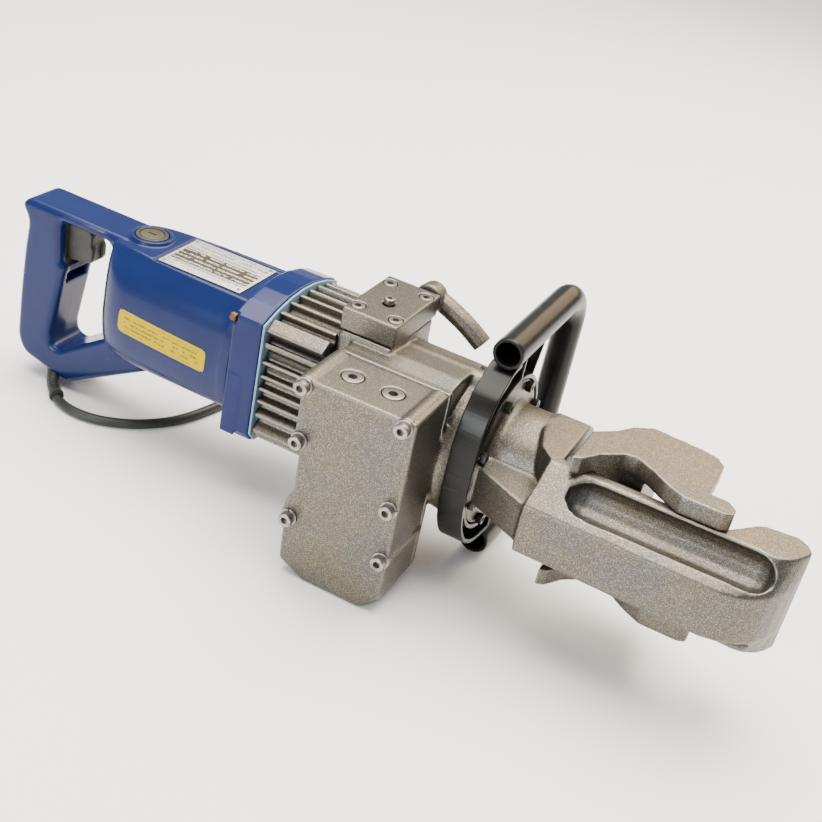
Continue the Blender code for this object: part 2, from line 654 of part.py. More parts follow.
def make_valve_block():
    block = box("valve_block", (BLOCK_X - BLOCK_HALF_LENGTH, -BLOCK_HALF_WIDTH, BLOCK_BOTTOM),
                (BLOCK_X + BLOCK_HALF_LENGTH, BLOCK_HALF_WIDTH, BLOCK_TOP), cast_steel)
    bevel(block, 1.0)
    spindle_way = rod("block_spindle_way", (-33, 10, 68.6), ALONG_Y, 40, 3.5, cast_steel, sides=20)
    stud_way = rod("block_stud_way", (BLOCK_X, -6, 66), ALONG_Z, 20, 4.3, cast_steel, sides=16)
    cut(block, spindle_way, stud_way)
    number = 0
    for dx in (-14, 14):
        for dy in (-23, 23):
            number += 1
            at = (BLOCK_X + dx, dy)
            seat = rod(f"block_screw_seat_{number}", (*at, BLOCK_TOP - 3.4), ALONG_Z, 10, 5.3, cast_steel, sides=20)
            cut(block, seat)
            socket_screw(f"block_screw_{number}", (*at, BLOCK_TOP - 3.1), ALONG_Z, 4.8, 2.9, black_screw)
    socket_screw("relief_screw", (BLOCK_X, -6, BLOCK_TOP + 0.2), ALONG_Z, 3.9, 4.0, zinc, 3.9, 9.5)
    turned("release_spindle", (-33, 14, 68.6), ALONG_Y,
           ((20.6, 0), (20.6, 3.2), (4, 3.2), (0, 1.5), (0, 0)), bright_steel, 16)
    lever = turned("release_lever", (-33, 35, 68.6), ALONG_Y,
                   ((15, 0), (15, 7), (12, 9.6), (1, 10.4), (0, 9.6), (0, 0)), cast_steel, 28)
    arm_points = [(-33, 43, 69), (-20, 43.5, 64), (-4, 44, 56), (10, 44.5, 46.5)]
    arm = wire("release_lever_arm", smooth_path(arm_points, 3), 7.2, cast_steel, 3)
    join(lever, arm)


make_valve_block()


# ------------------------------------------------------------------ ram, jaw and head
def make_ram():
    turned("ram", (PISTON_REAR, 0, 0), ALONG_X,
           ((ROD_FRONT - PISTON_REAR, 0), (ROD_FRONT - PISTON_REAR, ROD_RADIUS), (18, ROD_RADIUS), (18, 32.6),
            (12, 32.6), (12, 28.5), (6, 28.5), (6, 32.6), (0, 32.6), (0, 0)), bright_steel, 32)
    tube_ring("piston_seal", (PISTON_REAR + 6.3, 0, 0), ALONG_X, 5.4, 32.8, 28.8, black_rubber, 28)
    turns, radius = 6, 26.0
    length = HEAD_BACK - GAP - 2.4 - (PISTON_FRONT + 2.4)
    count = turns * 12
    points = [(PISTON_FRONT + 2.4 + length * i / count, radius * math.cos(2 * math.pi * i / 12),
               radius * math.sin(2 * math.pi * i / 12)) for i in range(count + 1)]
    wire("return_spring", points, 2.0, zinc)


make_ram()


def head_ring(z, near, far):
    """The head's plan at height z: near is how far its outer edge has come in, far the boss's half width."""
    outer = [((97, -73.5), (99, -45)), ((162, -75), (162, -45)), ((207, -76), (207, -45)), ((223, -75.6), (222, -45.5)),
             ((234.5, -72.6), (232, -46.5)), ((244, -67), (241, -47)), ((251.5, -59.5), (248.5, -45.5)),
             ((257, -50), (254.5, -41.5)), ((261, -39), (259.5, -35.5)), ((263.5, -27), (263.5, -27))]
    ring = [(a[0] + (b[0] - a[0]) * near, a[1] + (b[1] - a[1]) * near) for a, b in outer]
    ring += [(260, -20.5), (253, -15.5), (232, -18), (227, -22), (214, -38), (106, -38), (106, -20), (106, far)]
    ring += [(82, far), (82, -14), (88, -32), (98, -42)]
    return [(x, y, z) for x, y in ring]


def make_pocket(name, side):
    """A long trough's cutter: a round bar with round ends, lying in the head's slope."""
    rings = []
    for step in range(17):
        turn = math.pi * step / 16
        x = (POCKET_REAR + POCKET_FRONT) / 2 - (POCKET_FRONT - POCKET_REAR) / 2 * math.cos(turn)
        from_end = min(x - POCKET_REAR, POCKET_FRONT - x)
        share = min(1.0, max(0.08, from_end / POCKET_END))
        radius = POCKET_RADIUS * math.sqrt(1 - (1 - share) ** 2)
        rings.append([(x, POCKET_Y + radius * math.cos(a), (POCKET_Z + radius * math.sin(a)) * side)
                      for a in [2 * math.pi * k / 14 for k in range(14)]])
    return loft(name, rings, cast_steel)


def make_head():
    def boss(z):
        return math.sqrt(39.5 ** 2 - z ** 2)

    levels = (-HOOK_TOP, -30, -RIM_TOP, 0, RIM_TOP, 30, HOOK_TOP)
    rings = [head_ring(z, max(0, (abs(z) - RIM_TOP) / (HOOK_TOP - RIM_TOP)), boss(z)) for z in levels]
    head = loft("jaw_frame", rings, cast_steel)
    neck = turned("head_neck", (HEAD_BACK, 0, 0), ALONG_X,
                  ((50, 15), (50, 37), (14, 37), (HEAD_FLANGE_FRONT - HEAD_BACK, 40),
                   (HEAD_FLANGE_FRONT - HEAD_BACK, FLANGE_RADIUS - 0.4), (0, FLANGE_RADIUS - 0.4), (0, 15)),
                  cast_steel, 40, closed=True)
    shelf = loft("head_shelf", [[(53, -20, z), (53, -47, z), (100, -73.5 + drop, z), (100, -20, z)]
                                for z, drop in ((-14, 3), (-9, 0), (9, 0), (14, 3))], cast_steel)
    join(head, neck, shelf)
    rod_way = rod("head_rod_way", (HEAD_BACK - 5, 0, 0), ALONG_X, 80, ROD_RADIUS + GAP, cast_steel, sides=36)
    cut(head, rod_way)
    for side in (1, -1):
        cut(head, make_pocket(f"head_pocket_{side}", side))
    for number, at in enumerate(bolt_circle()):
        cut(head, rod(f"flange_bolt_way_{number}", (40, *at), ALONG_X, 30, 2.6, cast_steel, sides=8))
    return settle(head)


make_head()


def make_jaw():
    top = plate("moving_jaw", JAW_PLAN, HOOK_TOP + 0.4, JAW_TOP, cast_steel)
    block = plate("jaw_block", JAW_BLOCK_PLAN, 31, HOOK_TOP + 3, cast_steel)
    bottom = plate("jaw_bottom", JAW_PLAN, -JAW_TOP, -HOOK_TOP - 0.4, cast_steel)
    lower_block = plate("jaw_lower_block", JAW_BLOCK_PLAN, -HOOK_TOP - 3, -31, cast_steel)
    web = plate("jaw_web", ((113.6, -37.2), (126.6, -37.2), (139.5, -24.4), (147, -23.3), (156, -28), (158, 18),
                            (144.4, 19.3), (133.6, 19.3), (113.6, 19.3)), -34, 34, cast_steel)
    boss = rod("jaw_boss", (113.5, 0, 0), ALONG_X, 36, 27, cast_steel)
    join(top, block, web, lower_block, bottom, boss)
    return top


make_jaw()


# ------------------------------------------------------------------ flange bolts and front handle
def make_flange_bolts():
    for number, at in enumerate(bolt_circle()[:MODELLED_BOLTS], 1):
        socket_screw(f"flange_bolt_{number}", (HEAD_FLANGE_FRONT + GAP, *at), ALONG_X, 3.9, 4.4, black_screw, 2.2, 14)


make_flange_bolts()


def strap_outline(path, thickness):
    """A strip of even thickness along a path in the Y-Z plane."""
    outer, inner = [], []
    for before, point, after in zip([path[0], *path], path, [*path[1:], path[-1]]):
        along = (Vector(after) - Vector(before)).normalized()
        across = Vector((-along.y, along.x)) * thickness / 2
        outer.append(tuple(Vector(point) + across))
        inner.append(tuple(Vector(point) - across))
    return outer + inner[::-1]


def make_front_handle():
    band = tube_ring("handle_band", (BAND_REAR, 0, 0), ALONG_X, BAND_FRONT - BAND_REAR, 56.2, 53.1, black_paint, 40)
    tube_low = TUBE_TOP - TUBE_RADIUS - GAP
    for sign in (1, -1):
        reach = tube_low if sign > 0 else -TUBE_BOTTOM - TUBE_RADIUS - GAP
        path = [(-6, reach - 1.6), (-22, reach - 4.0), (-38, 57), (-49, 42), (-54.6, 22), (-54.6, 8)]
        if sign < 0:
            path = [(12, 1.4 - reach), (-4, 3.4 - reach), (-20, -64), (-35, -53.5), (-46, -40), (-53, -22), (-54.6, -8)]
        strap = plate(f"band_strap_{sign}", strap_outline(path, 3.0), BAND_REAR, BAND_FRONT, black_paint, FLAT_YZ)
        tab = plate(f"band_tab_{sign}", strap_outline([(8 - 6 * sign, 53.6 * sign), (8 - 6 * sign, (reach - 0.2) * sign)], 3.0),
                    BAND_REAR, BAND_FRONT, black_paint, FLAT_YZ)
        far_tab = plate(f"band_far_tab_{sign}", strap_outline([(24, 48.5 * sign), (34, (reach - 0.2) * sign)], 3.0),
                        BAND_REAR, BAND_FRONT, black_paint, FLAT_YZ)
        join(band, strap, tab, far_tab)

    bend = 22.0

    def route(end_top, end_bottom):
        points = [(TUBE_X, end_top, TUBE_TOP), (TUBE_X, TUBE_FAR_Y - bend, TUBE_TOP)]
        points += [(TUBE_X, TUBE_FAR_Y - bend + bend * math.sin(a), TUBE_TOP - bend + bend * math.cos(a))
                   for a in [math.pi / 2 * i / 6 for i in range(1, 7)]]
        points += [(TUBE_X, TUBE_FAR_Y - bend + bend * math.cos(a), TUBE_BOTTOM + bend - bend * math.sin(a))
                   for a in [math.pi / 2 * i / 6 for i in range(0, 7)]]
        return points + [(TUBE_X, end_bottom, TUBE_BOTTOM)]

    tube = smooth(wire("handle_tube", route(-22, 9), TUBE_RADIUS, black_paint, 4))
    for sign, z in ((1, TUBE_TOP), (-1, TUBE_BOTTOM)):
        cut(tube, rod(f"tube_mouth_{sign}", (TUBE_X, -40, z), ALONG_Y, 90, TUBE_BORE, black_paint, sides=24))


make_front_handle()


# ------------------------------------------------------------------ power cord
def make_cord():
    relief_route = smooth_path(RELIEF_ROUTE, 4)
    mesh_rings = []
    count = len(relief_route)
    for i, point in enumerate(relief_route):
        before, after = relief_route[max(0, i - 1)], relief_route[min(count - 1, i + 1)]
        along = (after - before).normalized()
        across = along.cross(Vector((0, 0, 1))).normalized()
        lift = across.cross(along).normalized()
        radius = RELIEF_ROOT_RADIUS + (RELIEF_TIP_RADIUS - RELIEF_ROOT_RADIUS) * i / (count - 1)
        mesh_rings.append([tuple(point + (across * math.cos(a) + lift * math.sin(a)) * radius)
                           for a in [2 * math.pi * k / 14 for k in range(14)]])
    smooth(loft("cord_gland", mesh_rings, black_rubber), 50)
    smooth(wire("power_cord", smooth_path(CORD_ROUTE, 2), CORD_RADIUS, black_rubber, 2), 50)
    tube_ring("cord_coil", (*COIL_CENTRE, -AXIS_HEIGHT + 0.1), ALONG_Z, COIL_HEIGHT, COIL_OUTER, COIL_INNER,
              black_rubber, 40)
    plug_start = (COIL_CENTRE[0] + 54.8, COIL_CENTRE[1] - 23, -AXIS_HEIGHT + 12.2)
    plug = turned("plug", plug_start, AGAINST_Y,
                  ((44, 0), (44, 11.4), (30, 11.9), (14, 11.4), (8, 7.5), (0, 5.2), (0, 0)), black_rubber, 24)
    for side in (-1, 1):
        pin = rod(f"plug_pin_{side}", (plug_start[0] + 5.5 * side, plug_start[1] - 43, plug_start[2]), AGAINST_Y,
                  20, 2.4, zinc, sides=12)
        join(plug, pin)


make_cord()
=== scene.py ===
import json
import math

import bpy
from mathutils import Matrix, Quaternion, Vector


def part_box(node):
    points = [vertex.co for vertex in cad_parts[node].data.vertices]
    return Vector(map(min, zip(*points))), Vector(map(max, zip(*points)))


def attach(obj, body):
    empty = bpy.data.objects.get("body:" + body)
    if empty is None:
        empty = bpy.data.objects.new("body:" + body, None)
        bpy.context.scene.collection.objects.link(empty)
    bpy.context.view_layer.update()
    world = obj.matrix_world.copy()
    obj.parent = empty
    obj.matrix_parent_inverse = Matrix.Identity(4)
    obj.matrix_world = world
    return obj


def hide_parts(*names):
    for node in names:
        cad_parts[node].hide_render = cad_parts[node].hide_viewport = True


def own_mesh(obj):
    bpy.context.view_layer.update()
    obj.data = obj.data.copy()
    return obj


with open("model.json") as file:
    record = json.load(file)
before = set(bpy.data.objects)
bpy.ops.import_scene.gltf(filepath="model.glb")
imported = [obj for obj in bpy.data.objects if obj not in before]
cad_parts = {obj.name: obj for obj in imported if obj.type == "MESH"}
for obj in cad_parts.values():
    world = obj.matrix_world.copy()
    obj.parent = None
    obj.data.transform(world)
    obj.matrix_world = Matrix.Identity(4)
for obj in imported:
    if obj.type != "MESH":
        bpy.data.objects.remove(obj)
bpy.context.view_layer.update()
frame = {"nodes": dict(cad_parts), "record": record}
bpy.ops.object.select_all(action="DESELECT")

mm = 0.001
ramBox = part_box("ram")
# the ram's centre line, 45 mm behind the head's rear face: every place below is in mm from here
home = Vector((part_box("jaw_frame")[0].x - 45 * mm, (ramBox[0].y + ramBox[1].y) / 2, (ramBox[0].z + ramBox[1].z) / 2))
ground = -home.z / mm


def spot(point):
    return home + Vector(point) * mm


# camera first; the cord's points below were measured against its view
view = {"place": (253.8, -720.8, 457.45), "lookAt": (-13.4, -2.9, 3.4), "roll": 12.3, "lens": 56.96}
bpy.ops.object.camera_add(location=spot(view["place"]))
camera = bpy.context.object
camera.name = "mainCamera"
camera.rotation_mode = "QUATERNION"
aim = (spot(view["lookAt"]) - camera.location).to_track_quat("-Z", "Y")
camera.rotation_quaternion = aim @ Quaternion((0, 0, 1), math.radians(view["roll"]))
camera.data.lens = view["lens"]
camera.data.sensor_width = 36
camera.data.clip_end = 20
bpy.context.scene.camera = camera
print("camera placed")


# modelling helpers
def only(piece):
    bpy.ops.object.select_all(action="DESELECT")
    piece.select_set(True)
    bpy.context.view_layer.objects.active = piece
    return piece


def intoMesh(piece, name=None):
    only(piece)
    bpy.ops.object.transform_apply(location=True, rotation=True, scale=True)
    if name:
        piece.name = name
        piece.data.name = name
    return piece


def modify(piece, kind, **settings):
    only(piece)
    modifier = piece.modifiers.new(kind.lower(), kind)
    for key, value in settings.items():
        setattr(modifier, key, value)
    bpy.ops.object.modifier_apply(modifier=modifier.name)
    return piece


def rod(name, start, along, length, radius, sides=64, tip=None):
    along = Vector(along).normalized()
    middle = spot(start) + along * length * mm / 2
    turn = along.to_track_quat("Z", "X").to_euler()
    if tip is None:
        bpy.ops.mesh.primitive_cylinder_add(vertices=sides, radius=radius * mm, depth=length * mm,
                                            location=middle, rotation=turn)
    else:
        bpy.ops.mesh.primitive_cone_add(vertices=sides, radius1=radius * mm, radius2=tip * mm, depth=length * mm,
                                        location=middle, rotation=turn)
    return intoMesh(bpy.context.object, name)


def block(name, low, high):
    low, high = spot(low), spot(high)
    bpy.ops.mesh.primitive_cube_add(size=1, location=(low + high) / 2)
    piece = bpy.context.object
    piece.scale = high - low
    return intoMesh(piece, name)


def combine(piece, other, operation="UNION"):
    only(piece)
    modifier = piece.modifiers.new("combine", "BOOLEAN")
    modifier.operation = operation
    modifier.object = other
    bpy.ops.object.modifier_apply(modifier=modifier.name)
    bpy.data.objects.remove(other, do_unlink=True)
    return piece


def carve(piece, *others):
    for other in others:
        combine(piece, other, "DIFFERENCE")
    return piece


def soften(piece, width, segments=3, angle=35):
    return modify(piece, "BEVEL", width=width * mm, segments=segments, limit_method="ANGLE",
                  angle_limit=math.radians(angle), harden_normals=False)


def cast(piece, grain, passes):
    # one skin of even faces, then relaxed, so that every edge gets the round of a casting
    modify(piece, "REMESH", mode="VOXEL", voxel_size=grain * mm)
    return modify(piece, "SMOOTH", factor=0.5, iterations=passes)


def closeMesh(piece, gap, ends=False, outwards=True):
    # merges the seam, closes the ends and turns the faces outwards
    only(piece)
    bpy.ops.object.mode_set(mode="EDIT")
    bpy.ops.mesh.select_all(action="SELECT")
    bpy.ops.mesh.remove_doubles(threshold=gap)
    if ends:
        bpy.ops.mesh.fill_holes(sides=0)
        bpy.ops.mesh.select_all(action="SELECT")
    if outwards:
        bpy.ops.mesh.normals_make_consistent(inside=False)
    bpy.ops.object.mode_set(mode="OBJECT")
    return piece


def cloneNode(node, name):
    piece = bpy.data.objects.new(name, frame["nodes"][node].data.copy())
    bpy.context.scene.collection.objects.link(piece)
    piece.data.name = name
    piece.data.materials.clear()
    return closeMesh(piece, 0.00001, outwards=False)


def through(points, steps):
    # a smooth line through the points
    line = []
    ends = [points[0], *points, points[-1]]
    for a, b, c, d in zip(ends, ends[1:], ends[2:], ends[3:]):
        a, b, c, d = Vector(a), Vector(b), Vector(c), Vector(d)
        for step in range(steps):
            t = step / steps
            line.append(0.5 * (2 * b + (c - a) * t + (2 * a - 5 * b + 4 * c - d) * t * t
                               + (3 * b - a - 3 * c + d) * t ** 3))
    line.append(Vector(points[-1]))
    return line


def skin(name, rings):
    # a grid wrapped round the rings, closed along its side and at both ends
    around = len(rings[0])
    bpy.ops.mesh.primitive_grid_add(x_subdivisions=around, y_subdivisions=len(rings) - 1, size=1)
    piece = bpy.context.object
    for index, vertex in enumerate(piece.data.vertices):
        row, column = divmod(index, around + 1)
        vertex.co = spot(rings[row][column % around])
    piece.name = name
    return closeMesh(piece, 0.000005, ends=True)


def tubeRings(line, radii, sides=24):
    rings = []
    for index, point in enumerate(line):
        before, after = line[max(0, index - 1)], line[min(len(line) - 1, index + 1)]
        along = (after - before).normalized()
        across = along.cross(Vector((0, 0, 1)))
        across = across.normalized() if across.length > 0.05 else Vector((1, 0, 0))
        lift = across.cross(along).normalized()
        wide, high = radii(index / (len(line) - 1))
        rings.append([point + across * math.cos(a) * wide + lift * math.sin(a) * high
                      for a in (2 * math.pi * k / sides for k in range(sides))])
    return rings


def roundCorners(points, radius):
    line = []
    for before, corner, after in zip([points[-1], *points], points, [*points[1:], points[0]]):
        corner, back, on = Vector(corner), Vector(before) - Vector(corner), Vector(after) - Vector(corner)
        reach = min(radius, 0.45 * back.length, 0.45 * on.length)
        start, end = corner + back.normalized() * reach, corner + on.normalized() * reach
        for step in range(6):
            t = step / 5
            line.append(start * (1 - t) ** 2 + corner * 2 * t * (1 - t) + end * t * t)
    return line


def slab(name, outline, halfWidth, edge, middle=(0, 0, 0), hole=None, flat="XZ"):
    # a flat outline with rounded edges, standing in XZ or YZ
    curve = bpy.data.curves.new(name, "CURVE")
    curve.dimensions = "2D"
    curve.fill_mode = "BOTH"
    curve.extrude = (halfWidth - edge) * mm
    curve.bevel_depth = edge * mm
    curve.bevel_resolution = 4
    curve.offset = -edge * mm
    for loop in (outline, hole) if hole else (outline,):
        spline = curve.splines.new("POLY")
        spline.points.add(len(loop) - 1)
        for point, (u, v) in zip(spline.points, loop):
            point.co = (u * mm, v * mm, 0, 1)
        spline.use_cyclic_u = True
    piece = bpy.data.objects.new(name, curve)
    bpy.context.scene.collection.objects.link(piece)
    only(piece)
    bpy.ops.object.convert(target="MESH")
    piece = bpy.context.object
    piece.rotation_euler = (math.radians(90), 0, 0 if flat == "XZ" else math.radians(90))
    piece.location = spot(middle)
    return closeMesh(intoMesh(piece, name), 0.00001)


def plant(source, name, at, along, spin=0.0):
    # a copy of a piece that was modelled at the world's centre along +Z
    piece = bpy.data.objects.new(name, source.data.copy())
    bpy.context.scene.collection.objects.link(piece)
    turn = Vector(along).to_track_quat("Z", "X").to_matrix().to_4x4()
    piece.data.transform(Matrix.Translation(spot(at)) @ turn @ Matrix.Rotation(math.radians(spin), 4, "Z"))
    return piece


def dress(piece, body, finish, slot, *nodes, angle=None):
    piece.data.materials.clear()
    piece.data.materials.append(finish)
    only(piece)
    if angle is None:
        bpy.ops.object.shade_smooth()
    else:
        bpy.ops.object.shade_smooth_by_angle(angle=math.radians(angle))
    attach(piece, body)
    if nodes:
        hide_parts(*nodes)
    return piece


# materials: Value lets shader sums be written out, and Finish.node adds any node
class Value:
    def __init__(self, finish, socket):
        self.finish = finish
        self.socket = socket

    def sum(self, operation, first, second):
        return self.finish.node("ShaderNodeMath", {"operation": operation}, {0: first, 1: second})

    def __add__(self, other):
        return self.sum("ADD", self, other)

    def __radd__(self, other):
        return self.sum("ADD", other, self)

    def __sub__(self, other):
        return self.sum("SUBTRACT", self, other)

    def __rsub__(self, other):
        return self.sum("SUBTRACT", other, self)

    def __mul__(self, other):
        return self.sum("MULTIPLY", self, other)

    def __rmul__(self, other):
        return self.sum("MULTIPLY", other, self)

    def __truediv__(self, other):
        return self.sum("DIVIDE", self, other)

    def __gt__(self, other):
        return self.sum("GREATER_THAN", self, other)

    def __lt__(self, other):
        return self.sum("LESS_THAN", self, other)


class Finish:
    def __init__(self, name, **shader):
        self.material = bpy.data.materials.new(name)
        self.material.use_nodes = True
        self.tree = self.material.node_tree
        self.shader = self.tree.nodes["Principled BSDF"]
        for key, value in shader.items():
            self.shader.inputs[key.replace("_", " ")].default_value = value
        self.place = self.node("ShaderNodeTexCoord", {}, {}, "Object")

    def node(self, kind, settings, inputs, output=0):
        made = self.tree.nodes.new(kind)
        for key, value in settings.items():
            setattr(made, key, value)
        for key, value in inputs.items():
            if isinstance(value, Value):
                self.tree.links.new(value.socket, made.inputs[key])
            else:
                made.inputs[key].default_value = value
        return Value(self, made.outputs[output])

    def noise(self, size, detail=3.0, roughness=0.55, stretch=(1, 1, 1)):
        # size is the spacing of its lumps, in mm
        where = self.place
        if stretch != (1, 1, 1):
            where = self.node("ShaderNodeMapping", {}, {"Vector": where, "Scale": stretch})
        return self.node("ShaderNodeTexNoise", {}, {"Vector": where, "Scale": 1000 / size, "Detail": detail,
                                                    "Roughness": roughness})

    def ramp(self, value, low, high):
        return self.node("ShaderNodeMapRange", {}, {"Value": value, "From Min": low, "From Max": high})

    def blend(self, share, first, second):
        return self.node("ShaderNodeMix", {"data_type": "RGBA"}, {0: share, 6: first, 7: second}, 2)

    def bump(self, height, depth, strength=1.0):
        # depth is in mm
        return self.node("ShaderNodeBump", {}, {"Height": height, "Distance": depth * mm, "Strength": strength})

    def feed(self, **values):
        for key, value in values.items():
            self.tree.links.new(value.socket, self.shader.inputs[key.replace("_", " ")])
        return self.material


def tone(red, green, blue):
    return (red, green, blue, 1)


# the bright flake colour also serves as the painted edge highlight on convex edges
castMetal = {"grey": tone(0.098, 0.095, 0.089), "tan": tone(0.126, 0.107, 0.076), "pit": tone(0.055, 0.050, 0.045),
             "flakeAndEdgeSheen": tone(0.46, 0.445, 0.41), "grain": 0.5, "flakeSize": 0.30, "depth": 0.11}


def castFinish(name, grain=1.0, polish=0.0):
    finish = Finish(name, Metallic=1.0)
    patches = finish.ramp(finish.noise(38, 4), 0.35, 0.68)
    lumps = finish.noise(castMetal["grain"] * grain, 4, 0.6)
    wide = finish.noise(castMetal["grain"] * grain * 3.2, 2)
    cells = finish.node("ShaderNodeTexVoronoi", {}, {"Vector": finish.place,
                                                    "Scale": 1000 / (castMetal["flakeSize"] * grain)}, "Color")
    parts = finish.node("ShaderNodeSeparateColor", {}, {"Color": cells}, 0)
    other = finish.node("ShaderNodeSeparateColor", {}, {"Color": cells}, 1)
    colour = finish.blend(patches, castMetal["grey"], castMetal["tan"])
    colour = finish.blend(finish.ramp(lumps, 0.48, 0.32) * 0.4, colour, castMetal["pit"])
    colour = finish.blend(finish.ramp(parts, 0.78, 0.98) * 0.7, colour, castMetal["flakeAndEdgeSheen"])
    # convex edges brighter and smoother: partly worn edges, partly a painted edge highlight
    edge = finish.ramp(finish.node("ShaderNodeNewGeometry", {}, {}, "Pointiness"), 0.515, 0.56)
    colour = finish.blend(edge * 0.35, colour, castMetal["flakeAndEdgeSheen"])
    rough = 0.47 - polish - parts * 0.14 + lumps * 0.08 - edge * 0.10
    height = lumps * 0.8 + wide * 0.9 + other * 0.3
    return finish.feed(Base_Color=colour, Roughness=rough,
                       Normal=finish.bump(height, castMetal["depth"] * grain, 0.75))


def plasticFinish(name, colour, deep, rough=0.24, peel=0.035, size=2.4):
    finish = Finish(name, Coat_Weight=0.03, Coat_Roughness=0.1, Specular_IOR_Level=0.2)
    cloud = finish.noise(24, 4)
    scuffs = finish.ramp(finish.noise(6, 5, 0.7, (0.25, 1, 1)), 0.66, 0.84)
    edge = finish.ramp(finish.node("ShaderNodeNewGeometry", {}, {}, "Pointiness"), 0.52, 0.60)
    shade = finish.blend(finish.ramp(cloud, 0.3, 0.7), colour, deep)
    shade = finish.blend(edge * 0.14 + scuffs * 0.05, shade, tone(0.10, 0.15, 0.30))
    level = rough + cloud * 0.08 + scuffs * 0.16
    return finish.feed(Base_Color=shade, Roughness=level, Normal=finish.bump(finish.noise(size, 2), peel, 0.5))


def darkFinish(name, colour, worn, rough, lumpSize, depth, coat=0.0, shine=0.4):
    finish = Finish(name, Coat_Weight=coat, Specular_IOR_Level=shine)
    cloud = finish.noise(14, 4)
    grain = finish.noise(lumpSize, 3)
    edge = finish.ramp(finish.node("ShaderNodeNewGeometry", {}, {}, "Pointiness"), 0.53, 0.62)
    shade = finish.blend(finish.ramp(cloud, 0.4, 0.75) * 0.5 + edge * 0.3, colour, worn)
    return finish.feed(Base_Color=shade, Roughness=rough + cloud * 0.14 + grain * 0.05,
                       Normal=finish.bump(grain, depth, 0.6))


def steelFinish(name, colour, dull, rough, brushed=(1, 1, 1)):
    finish = Finish(name, Metallic=1.0)
    streaks = finish.noise(1.6, 4, 0.6, brushed)
    stain = finish.ramp(finish.noise(5, 4), 0.48, 0.72)
    shade = finish.blend(stain * 0.6, colour, dull)
    return finish.feed(Base_Color=shade, Roughness=rough + streaks * 0.16 + stain * 0.14,
                       Normal=finish.bump(streaks, 0.02, 0.5))


housingBlue = plasticFinish("housingBlue", tone(0.0062, 0.0150, 0.077), tone(0.0052, 0.0125, 0.066), 0.2)
collarBlue = plasticFinish("collarBlue", tone(0.0036, 0.0125, 0.083), tone(0.003, 0.010, 0.070), 0.17)
silverCasting = castFinish("silverCasting")
fineCasting = castFinish("fineCasting", 0.85, polish=0.04)
blackEnamel = darkFinish("blackEnamel", tone(0.005, 0.005, 0.005), tone(0.014, 0.013, 0.012), 0.2, 3.0, 0.03,
                         coat=0.05, shine=0.18)
blackPlastic = darkFinish("blackPlastic", tone(0.018, 0.018, 0.016), tone(0.05, 0.048, 0.042), 0.38, 0.5, 0.04)
oliveCap = darkFinish("oliveCap", tone(0.045, 0.040, 0.022), tone(0.075, 0.066, 0.040), 0.34, 0.8, 0.05)
cordRubber = darkFinish("cordRubber", tone(0.012, 0.015, 0.013), tone(0.035, 0.04, 0.036), 0.36, 0.45, 0.03)
zincSteel = steelFinish("zincSteel", tone(0.30, 0.285, 0.262), tone(0.09, 0.078, 0.064), 0.24)
blackOxide = steelFinish("blackOxide", tone(0.06, 0.058, 0.055), tone(0.018, 0.017, 0.016), 0.28)
groundSteel = steelFinish("groundSteel", tone(0.66, 0.66, 0.65), tone(0.45, 0.44, 0.42), 0.16, (0.1, 1, 1))
brassFinish = steelFinish("brassFinish", tone(0.62, 0.44, 0.18), tone(0.38, 0.25, 0.1), 0.24)
rustyScrew = steelFinish("rustyScrew", tone(0.16, 0.08, 0.035), tone(0.05, 0.028, 0.016), 0.45)
carbonBlack = darkFinish("carbonBlack", tone(0.02, 0.02, 0.02), tone(0.05, 0.05, 0.05), 0.6, 0.4, 0.03)
gasketSheet = darkFinish("gasketSheet", tone(0.15, 0.27, 0.38), tone(0.22, 0.36, 0.46), 0.5, 0.7, 0.05)
moulded = plasticFinish("mouldedBlack", tone(0.02, 0.02, 0.02), tone(0.03, 0.03, 0.03), 0.4)
print("materials made")


def printedFinish(name, paper, ink, box, rows, margin, metallic=0.0, panel=None, wordGap=0.40):
    # rows of broken strokes, which stand for small print; box is (low, high) along X and across, in metres
    finish = Finish(name, Metallic=metallic, Specular_IOR_Level=0.08)
    (alongLow, alongHigh), (acrossLow, acrossHigh), acrossName, slope = box
    xyz = [finish.node("ShaderNodeSeparateXYZ", {}, {"Vector": finish.place}, axis) for axis in "XYZ"]
    along = (xyz[0] - alongLow) / (alongHigh - alongLow)
    across = (xyz["XYZ".index(acrossName)] - acrossLow + (xyz[0] - alongLow) * slope) / (acrossHigh - acrossLow)
    line = across * rows
    within = line - finish.node("ShaderNodeMath", {"operation": "FLOOR"}, {0: line})
    strokes = finish.noise(1.1, 2, 0.6, (1, 1, 1)) > 0.47
    words = finish.noise(7, 1, 0.5) > wordGap
    inside = (along > margin) * (along < 1 - margin) * (across > margin * 1.6) * (across < 1 - margin * 1.6)
    marks = (within > 0.30) * (within < 0.74) * strokes * words * inside
    colour = finish.blend(finish.ramp(finish.noise(9, 3), 0.3, 0.8) * 0.10, paper, ink)
    if panel:
        low, high, shade = panel
        dark = (across > low) * (across < high) * (along > margin) * (along < 1 - margin)
        colour = finish.blend(dark, colour, shade)
        colour = finish.blend(marks * dark, colour, paper)
        marks = marks * (1 - dark)
    colour = finish.blend(marks * 0.8, colour, ink)
    rough = 0.34 + finish.noise(3, 3) * 0.2
    return finish.feed(Base_Color=colour, Roughness=rough, Normal=finish.bump(finish.noise(1.5, 2), 0.01, 0.4))


